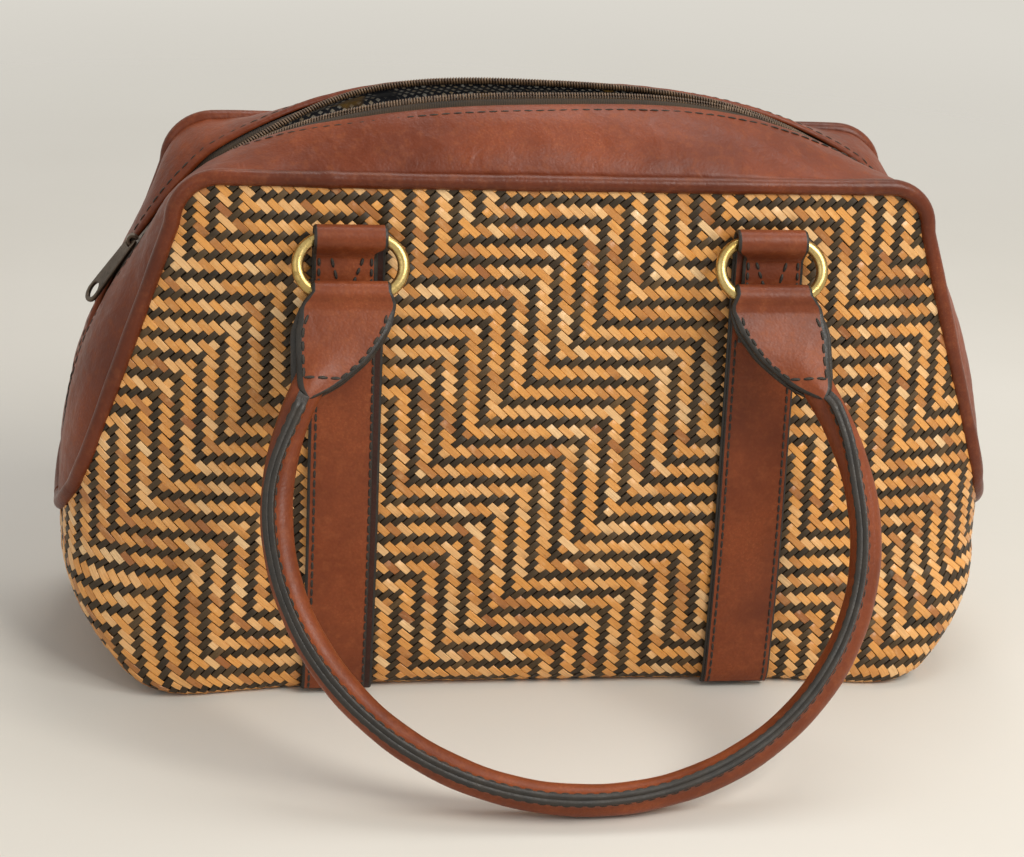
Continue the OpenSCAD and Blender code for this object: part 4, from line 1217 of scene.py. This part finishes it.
# outline of the right tab: left and right edge at distances y from the ring's bar
TAB_END = 41.0
TAB_OUTLINE = np.array([(0, -15, 15), (4, -17.5, 19), (14, -15, 23), (25.2, -7.5, 23), (30.5, -1.5, 23),
                        (36, 5, 23), (39, 11, 21.4), (TAB_END, 15.5, 18.6)])
TAB_ROWS = np.linspace(0, TAB_END, 83)
TAB_EDGES = smooth(places(TAB_ROWS, TAB_OUTLINE[:, 0], TAB_OUTLINE[:, 1:]), 4)


def tab_edges(y, sx, less_l, less_r):
    """Edges of a tab at distances y, drawn in by less_l and less_r; sx is -1 for the left tab."""
    l, r = places(np.clip(np.abs(y), 0, TAB_END), TAB_ROWS, TAB_EDGES).T
    l, r = l + less_l, r - less_r
    return (l, r) if sx > 0 else (-r, -l)


def handle_piece(name, node, body, flip):
    """Rolled tube with a sewn fin, flat at its ends, where it runs in between the two layers of its tabs."""
    piece = Piece()
    origin = (0, PIVOT_Y, PIVOT_Z)
    lead = np.array([[STRAP_X + 8.0, 20.0, 0], [STRAP_X + 11.8, 26.5, 0], [STRAP_X + 15.4, 33.0, 0]])
    half = np.concatenate([lead, bend_half(np.linspace(0, 1, 90))])
    full = np.concatenate([half * np.array([-1, 1, 1]), half[-2::-1]])
    full, s = resample(smooth(resample(full, 1.3)[0], 4.0), 2.4)
    full[:, 0] += HANDLE_SIDE * np.maximum(0, full[:, 1] - TIP_Y) / (HANDLE_LEN - TIP_Y)
    t = tangents(full)
    b = np.stack([t[:, 1], -t[:, 0], 0 * t[:, 0]], 1)
    end = np.minimum(s, s[-1] - s)
    w = FIN_W / 2
    ang = np.radians(np.linspace(30, 330, 29))
    arc = [(TUBE_R * math.sin(a), -TUBE_R * math.cos(a)) for a in ang]
    right = [(0.3, -9.75), (1.5, -10.0), (w, -9.5), (w + 0.02, -8.0), (w + 0.06, -7.0), (w + 0.35, -6.1)]
    outline = np.array(right + arc + [(-x, z) for x, z in right[::-1]] + [(0.0, -9.55)])
    wave = 1 + 0.014 * np.sin(s / 9.0) + 0.010 * np.sin(s / 3.7 + 1)
    wide = mix(1.12, 1.0, soft(end / 24)) * wave
    flat = mix(0.30, 1.0, soft((end - 3) / 23)) * wave      # the tube opens out flat behind the tab
    fin = outline[:, 1] < -TUBE_R * 0.98
    o = outline[None] * np.stack([wide, flat], 1)[:, None]
    o[:, fin, 1] = mix(-5.5 * flat[:, None], outline[None, fin, 1] * wave[:, None],
                       soft((end - 20.5) / 6)[:, None])
    roll = -FIN_ROLL * b[:, 0] * soft((end - 24) / 40)      # the fin leans to the left all round
    co, si = np.cos(roll)[:, None], np.sin(roll)[:, None]
    o = np.stack(turned(o[..., 0], o[..., 1], roll[:, None]), -1)
    loops = full[:, None] + o[..., :1] * b[:, None] + o[..., 1:] * UPWARD
    v, f = loft(tilt(loops, HANDLE_LEAN, origin))
    n_out = len(outline)
    ring = np.tile(np.arange(n_out), len(full) - 1)
    mats = np.zeros(len(f), int)
    mats[:len(ring)] = (ring < 3) | (ring >= n_out - 4)     # the fin's painted edge
    piece.add(v, f, mats)
    keep, sewn, seam_h = end > 26, w + 0.06, 7.5
    for sx in (-1, 1):
        x, z = sx * sewn * co + seam_h * si, sx * sewn * si - seam_h * co
        row = tilt((full + b * x + UPWARD * z)[keep], HANDLE_LEAN, origin)
        nrm = tilt((b * co + UPWARD * si)[keep] * sx, HANDLE_LEAN, (0, 0, 0))
        thread(piece, row, nrm, 2, *FIN_STITCH)
    # tabs: one strip folded round the ring bar, both layers sewn together
    r_mid, lay, th = BORE_R + 1.25, 1.27, 2.4
    upper = full[:len(full) // 5]
    for sx in (-1, 1):
        def rise(x, y):
            """How far the upper layer stands out over the tube that it covers."""
            d = sx * x - np.interp(y, upper[:, 1], -upper[:, 0] - STRAP_X)
            crown = 0.5 * np.sin(math.pi * clamp(y / TAB_END)) ** 2
            return 4.1 * soft((y - 15) / 25) * np.exp(-(d / 8.5) ** 2) + crown

        ys = np.linspace(TAB_END, 6.5, 26)
        turn = [(r_mid * math.cos(a), -r_mid * math.sin(a)) for a in np.radians(np.arange(40, 326, 13))]
        line = curve_through(in_plane([(y, -lay) for y in ys] + [(5.0, -1.75)] + turn + [(5.0, 1.75)]
                                      + [(y, lay) for y in ys[::-1]]), 1.1)
        down = np.maximum(line[:, 1], 0)
        upper_layer = np.arange(len(line)) < np.argmin(line[:, 1])
        inset = soft((down - 3) / 10) * soft((46 - down) / 12)
        l, r = tab_edges(down, sx, 0.7 * upper_layer * inset, 1.9 * upper_layer * inset)
        loops = ribbon(line, l, r, th, np.where(upper_layer, 0.9 * inset + 0.3, 2.2 * inset + 0.3))
        loops[..., 2] -= np.where(upper_layer[:, None], rise(loops[..., 0], np.maximum(loops[..., 1], 0)), 0)
        v, f, mats = ribbon_faces(tilt(loops + ACROSS * sx * STRAP_X, HANDLE_LEAN, origin), 0, 1)
        piece.add(v, f, mats)
        # stitches on both faces: down both edges and across above the tip
        yy = np.linspace(8.5, 33.0, 30)
        l, r = tab_edges(yy, sx, 3.2, 4.4)
        for side in (-1, 1):
            nrm = tilt(np.array([0, 0, float(side)]), HANDLE_LEAN, (0, 0, 0))
            for px, py in ((l, yy), (r, yy), (np.linspace(l[-1], r[-1], 8), np.full(8, yy[-1]))):
                pz = side * (lay + th / 2) - (rise(px, py) if side < 0 else 0.0)
                row = np.stack([px + sx * STRAP_X, py, pz + 0 * px], 1)
                thread(piece, tilt(row, HANDLE_LEAN, origin), nrm, 2, *TAB_STITCH)
    piece.make(name, [LEATHER, EDGE, THREAD], body, "leather", [node], flip_y=flip, sharp=50)


handle_piece("handle_front", "front_handle", "front_grip", False)
handle_piece("handle_back", "back_handle", "back_grip", True)

# ---------------------------------------------------------------- zip slider and pull
PLATE_T, PLATE_BEVEL, SLIDER_LEN = 1.4, 0.35, 14.0
PLATE_Z = 1.6 + 0.5                    # half height of the coils, and the air over them
BAR_R, BRIDGE_R, BRIDGE_T = 0.9, 1.85, 1.2
BAR_Z, BAR_X = PLATE_Z + PLATE_T + BAR_R + 0.8, -SLIDER_LEN / 2 + 2.4
SLIDER_AT = 8.0                        # the slider's middle, along the zip from the foot of its straight part
PULL_LEN, PULL_T, PULL_TIP_R, PULL_HOLE_R = 31.0, 1.6, 5.0, 3.4


def at_slider(p):
    """Slider frame to the bag: X up the zip, Z out of the leather."""
    p = np.asarray(p, float)
    x, z = turned(p[..., 0] + SLIDER_AT, p[..., 2] - COIL_IN, ZIP_ANGLE)
    return np.stack([x - FOOT_X, p[..., 1], z + FOOT_Z], -1)


def slider_piece():
    """Two plates with side walls that turn in over the coils, a post, and the bridge for the pull's bar."""
    body = Piece()
    edge = [(-7, 2.6), (-6.2, 3.3), (0.5, 4.2), (4.8, 5.0), (6.6, 4.4), (7.0, 3.0), (6.4, 1.0)]
    outline = [(x, -y) for x, y in edge] + [(5.6, 0)] + edge[::-1]
    for side in (1, -1):
        middle = side * (PLATE_Z + PLATE_T / 2) * UPWARD
        body.add(*plate(outline, [], PLATE_T, PLATE_BEVEL, lambda p: at_slider(p + middle)))
    side_wall = ((-6.6, 3.0), (0.5, 3.75), (4.6, 4.5))
    for sy in (-1, 1):
        for side in (1, -1):
            rail = np.array([(x, sy * y, side * (PLATE_Z + 0.1)) for x, y in side_wall])
            v, f = tube(resample(rail, 1.2)[0], 0.55, 8, UPWARD)
            body.add(at_slider(v), f)
    body.add(*plate(rounded(3.2, -0.5, 6.2, 0.5, 0.45), [], 2 * PLATE_Z + 0.4, 0.1, at_slider))
    a = np.radians(np.linspace(-35, 215, 19))
    arch = np.stack([BAR_X + BRIDGE_R * np.cos(a), 0 * a, BAR_Z + BRIDGE_R * np.sin(a)], 1)
    n = np.cross(tangents(arch), INWARD)
    h = BRIDGE_T / 2
    sec = np.array([(-1.4, h), (1.4, h), (1.5, 0.0), (1.4, -h), (-1.4, -h), (-1.5, 0.0)])
    loops = arch[:, None] + sec[None, :, :1] * INWARD + sec[None, :, 1:] * n[:, None]
    body.add(*loft(at_slider(loops)))
    body.make("zip_slider_body", [GUNMETAL], "slider", "dark_metal", ["zip_slider"], sharp=40)


def at_pull(p):
    """Pull's frame to the bag: X along the pull from its bar, Z out of its face."""
    p = np.asarray(p, float)
    y, w = turned(p[..., 1], p[..., 2], -PULL_ROLL)
    x, z = turned(p[..., 0], w, PULL_LEAN - math.pi)
    return at_slider(np.stack([x + BAR_X, y, z + BAR_Z], -1))


def pull_piece():
    """Tapered plate with a large hole at its tip and a fork that holds the bar."""
    pull = Piece()
    tip = PULL_LEN - PULL_TIP_R
    edge = [(-0.9, 2.2), (-0.9, 3.0), (-0.2, 3.5), (4, 3.75), (10, 4.1), (16, 4.45), (21, 4.8)]
    fork = [(3.0, -2.1), (3.0, 2.1)]
    outline = edge + circle(tip, 0, PULL_TIP_R, 17, 78, -78, True) + [(x, -y) for x, y in edge[::-1]] + fork
    hole = circle(tip - 0.2, 0, PULL_HOLE_R, 28)[::-1]
    pull.add(*plate(outline, [hole], PULL_T, 0.45, at_pull))
    v, f = tube(np.linspace(-3.2, 3.2, 9)[:, None] * INWARD, BAR_R, 12, UPWARD)
    pull.add(at_pull(v), f)
    pull.make("zip_pull_tab", [GUNMETAL], "pull", "dark_metal", ["zip_pull"], sharp=40)


slider_piece()
pull_piece()

# ---------------------------------------------------------------- lining
def lining_piece():
    """Thin cloth bag inside the basket, sewn to the tapes: front half and its mirror, welded, with a bottom.
    Returns the object and the area of the cloth."""
    inset, low_z, high_z, cols = 6.3, 6.8, 188.0, 61
    slider_deep = (COIL_IN + PLATE_Z + PLATE_T + 0.6) / math.sin(ZIP_ANGLE)
    z = np.concatenate([np.linspace(low_z, 34, 7), np.linspace(45, high_z, 20)])[:, None] * np.ones((1, cols))
    zip_x = np.where(z < FOOT_Z, side_x(z), mix(FOOT_X, SHOULDER_X, (z - FOOT_Z) / (SHOULDER_Z - FOOT_Z)))
    wide = np.minimum(half_w(z), 6.0 - slider_deep + zip_x)
    g = (1 + SHARE) * np.linspace(-1, 1, cols)
    ring = section(z, g, wide - tuck(z) - inset, half_d(z) - tuck(z) - inset, bow(z))
    # folds of the loose cloth
    r = np.random.default_rng(9)
    waves = np.zeros(z.shape)
    for _ in range(6):
        waves += np.sin(ring[..., 0] / r.uniform(9, 22) + ring[..., 2] / r.uniform(30, 60) + r.uniform(0, 6.3))
    up = soft((ring[..., 2] - 60) / 80)
    ring[..., 1] += 0.45 * (waves + 3.0) * up * clamp((half_d(high_z) - 4) / 40)
    # from there the cloth runs in under the leather and, along the open mouth, up the inside of the tape
    idx = np.where(strip.u >= U_ZIP + 0.02)[0]
    is_open = soft((strip.u[idx] - U_SHOULDER - 0.01) / 0.06)
    low = strip.line(idx, 1 - 9.5 / strip.l[idx], mix(9.0, 4.9, is_open))
    high = strip.line(idx, 1 - mix(9.5, 2.2, is_open) / strip.l[idx], mix(9.0, 3.7, is_open))
    d = np.linspace(0, 1, len(idx))
    top_x = ring[-1, :, 0]
    at = np.interp(top_x / np.abs(top_x).max(), low[:, 0] / np.abs(low[:, 0]).max(), d)
    low, high = places(at, d, low), places(at, d, high)
    lead = []
    for q in np.linspace(0.1, 1, 10):
        p = mix(ring[-1], low, q)
        p[:, 2] -= 3.0 * math.sin(math.pi * q)
        p[:, 1] += (2.0 + 0.35 * waves[-1]) * math.sin(math.pi * q)
        lead.append(p)
    lead += [mix(low, high, q) for q in (0.3, 0.6, 1.0)]
    front = np.concatenate([ring, np.stack(lead)])
    n, m = front.shape[:2]
    quad = grid_quads(n, m)
    around = np.stack([lengths(row) for row in front])
    height = np.stack([lengths(front[:, i]) for i in range(m)], 1)
    uv = np.stack([around - around[:, m // 2:m // 2 + 1], height], -1).reshape(-1, 2)
    piece = Piece()
    for turn, faces in ((1.0, quad[:, ::-1]), (-1.0, quad)):
        piece.add(front.reshape(-1, 3) * np.array([1, turn, 1]), faces, 0, uv, closed=False)
    half = n * m
    piece.join([[i, i + 1, half + i + 1, half + i] for i in range(m - 1)])
    obj = piece.make("lining_cloth", [LINING], "bag", "lining_cloth", ["lining"], weld=True)
    area = sum(p.area for p in obj.data.polygons)
    mod = obj.modifiers.new("thick", "SOLIDIFY")
    mod.thickness, mod.offset = 0.0005, 0.0
    mesh = bpy.data.meshes.new_from_object(obj.evaluated_get(bpy.context.evaluated_depsgraph_get()))
    obj.modifiers.clear()
    obj.data = mesh
    return obj, area


lining, lining_area = lining_piece()

# ---------------------------------------------------------------- floor, light and camera
def floor_piece():
    """Pale floor that fades out into the background of the same colour."""
    n, reach, drop = 25, 4.0, 0.0002
    g = np.linspace(-reach, reach, n)
    x, y = np.meshgrid(g, g, indexing="ij")
    v = np.stack([x, y, 0 * x - drop], -1).reshape(-1, 3)
    mesh = bpy.data.meshes.new("floor")
    mesh.from_pydata(v.tolist(), [], grid_quads(n, n)[:, [0, 3, 2, 1]].tolist())
    m = Mat("floor_pale", Specular_IOR_Level=0.25)
    cloud = m.noise(3.0, 3, 0.5)
    fine = m.noise(160.0, 3, 0.6)
    color = m.blend(m.span(cloud, 0.3, 0.7, 0.0, 1.0), srgb(216, 211, 200), srgb(224, 219, 209))
    away = m.n("VectorMath", 1, {"operation": "LENGTH"}, i0=m.coords())
    m.put(m.bsdf, "Alpha", m.n("MapRange", 0, {"interpolation_type": "SMOOTHSTEP"}, Value=away, From_Min=0.4,
                               From_Max=1.3, To_Min=1.0, To_Max=0.0))
    mesh.materials.append(m.set(color, m.span(fine, 0.3, 0.7, 0.75, 0.9), m.bump(fine, 0.08, 0.0005)))
    obj = add_object("floor", mesh)


floor_piece()


def area_light(name, place, aim, size, power_w, color):
    data = bpy.data.lights.new(name, "AREA")
    data.shape, data.size, data.size_y = "RECTANGLE", size[0], size[1]
    data.energy, data.color = power_w, color
    obj = add_object(name, data)
    obj.location = place
    obj.rotation_euler = (Vector(aim) - Vector(place)).to_track_quat("-Z", "Y").to_euler()


area_light("key", (0.75, -0.85, 1.15), (0, 0, 0.1), (0.9, 0.7), 17.2, (1.0, 0.97, 0.92))
area_light("top", (0.25, 0.35, 1.4), (0, 0, 0.15), (0.9, 0.6), 6.5, (1.0, 0.98, 0.96))
area_light("fill", (-1.2, -1.0, 0.8), (0, 0, 0.1), (0.9, 0.9), 2.2, (1.0, 0.98, 0.95))


def studio_world():
    """Soft light all round, and a plain pale background for the camera and in reflections."""
    world = bpy.data.worlds.new("studio")
    bpy.context.scene.world = world
    world.use_nodes = True
    tree = world.node_tree
    tree.nodes.clear()
    out, shade, light, seen, rays, some, any_ray = (tree.nodes.new("ShaderNode" + kind) for kind in (
        "OutputWorld", "MixShader", "Background", "Background", "LightPath", "Math", "Math"))
    light.inputs[0].default_value, light.inputs[1].default_value = (0.95, 0.97, 1.0, 1), 0.42
    seen.inputs[0].default_value, seen.inputs[1].default_value = srgb(219, 215, 206), 1.0
    some.operation = any_ray.operation = "MAXIMUM"
    for source, target in ((rays.outputs["Is Camera Ray"], some.inputs[0]),
                           (rays.outputs["Is Transmission Ray"], some.inputs[1]),
                           (some.outputs[0], any_ray.inputs[0]),
                           (rays.outputs["Is Glossy Ray"], any_ray.inputs[1]),
                           (any_ray.outputs[0], shade.inputs[0]), (light.outputs[0], shade.inputs[1]),
                           (seen.outputs[0], shade.inputs[2]), (shade.outputs[0], out.inputs[0])):
        tree.links.new(source, target)


studio_world()

# camera at the photograph's viewing angle, aimed so that no lens shift is needed
FOCAL_PX, FRAME_PX, SENSOR = 2500.0, 1024, 36.0
ELEV, TURN_A, ROLL = np.radians((21.2, -10.4, 3.95))
DIST, LOOK_Z = 1.035, 0.11
OFF_X, OFF_Y = -17.9, -48.0            # pixels by which the camera aims beside the point (0, 0, LOOK_Z)
back_v = np.array([math.sin(TURN_A) * math.cos(ELEV), -math.cos(TURN_A) * math.cos(ELEV), math.sin(ELEV)])
right_v = unit(np.cross(UPWARD, back_v))
up_v = np.cross(back_v, right_v)
r2, u2 = turned(right_v, up_v, -ROLL)
aim = unit(r2 * (OFF_X / FOCAL_PX) + u2 * (OFF_Y / FOCAL_PX) - back_v)
r3 = unit(r2 - aim * (r2 @ aim))
u3 = np.cross(r3, aim)
place = UPWARD * LOOK_Z + back_v * DIST
cam = bpy.data.cameras.new("camera")
cam.sensor_fit, cam.sensor_width, cam.lens = "HORIZONTAL", SENSOR, FOCAL_PX / FRAME_PX * SENSOR
cam_obj = add_object("camera", cam)
cam_obj.matrix_world = Matrix(np.stack([r3, u3, -aim, place], 1).tolist() + [[0, 0, 0, 1]])
bpy.context.scene.camera = cam_obj
bpy.context.scene.view_settings.view_transform = "Standard"
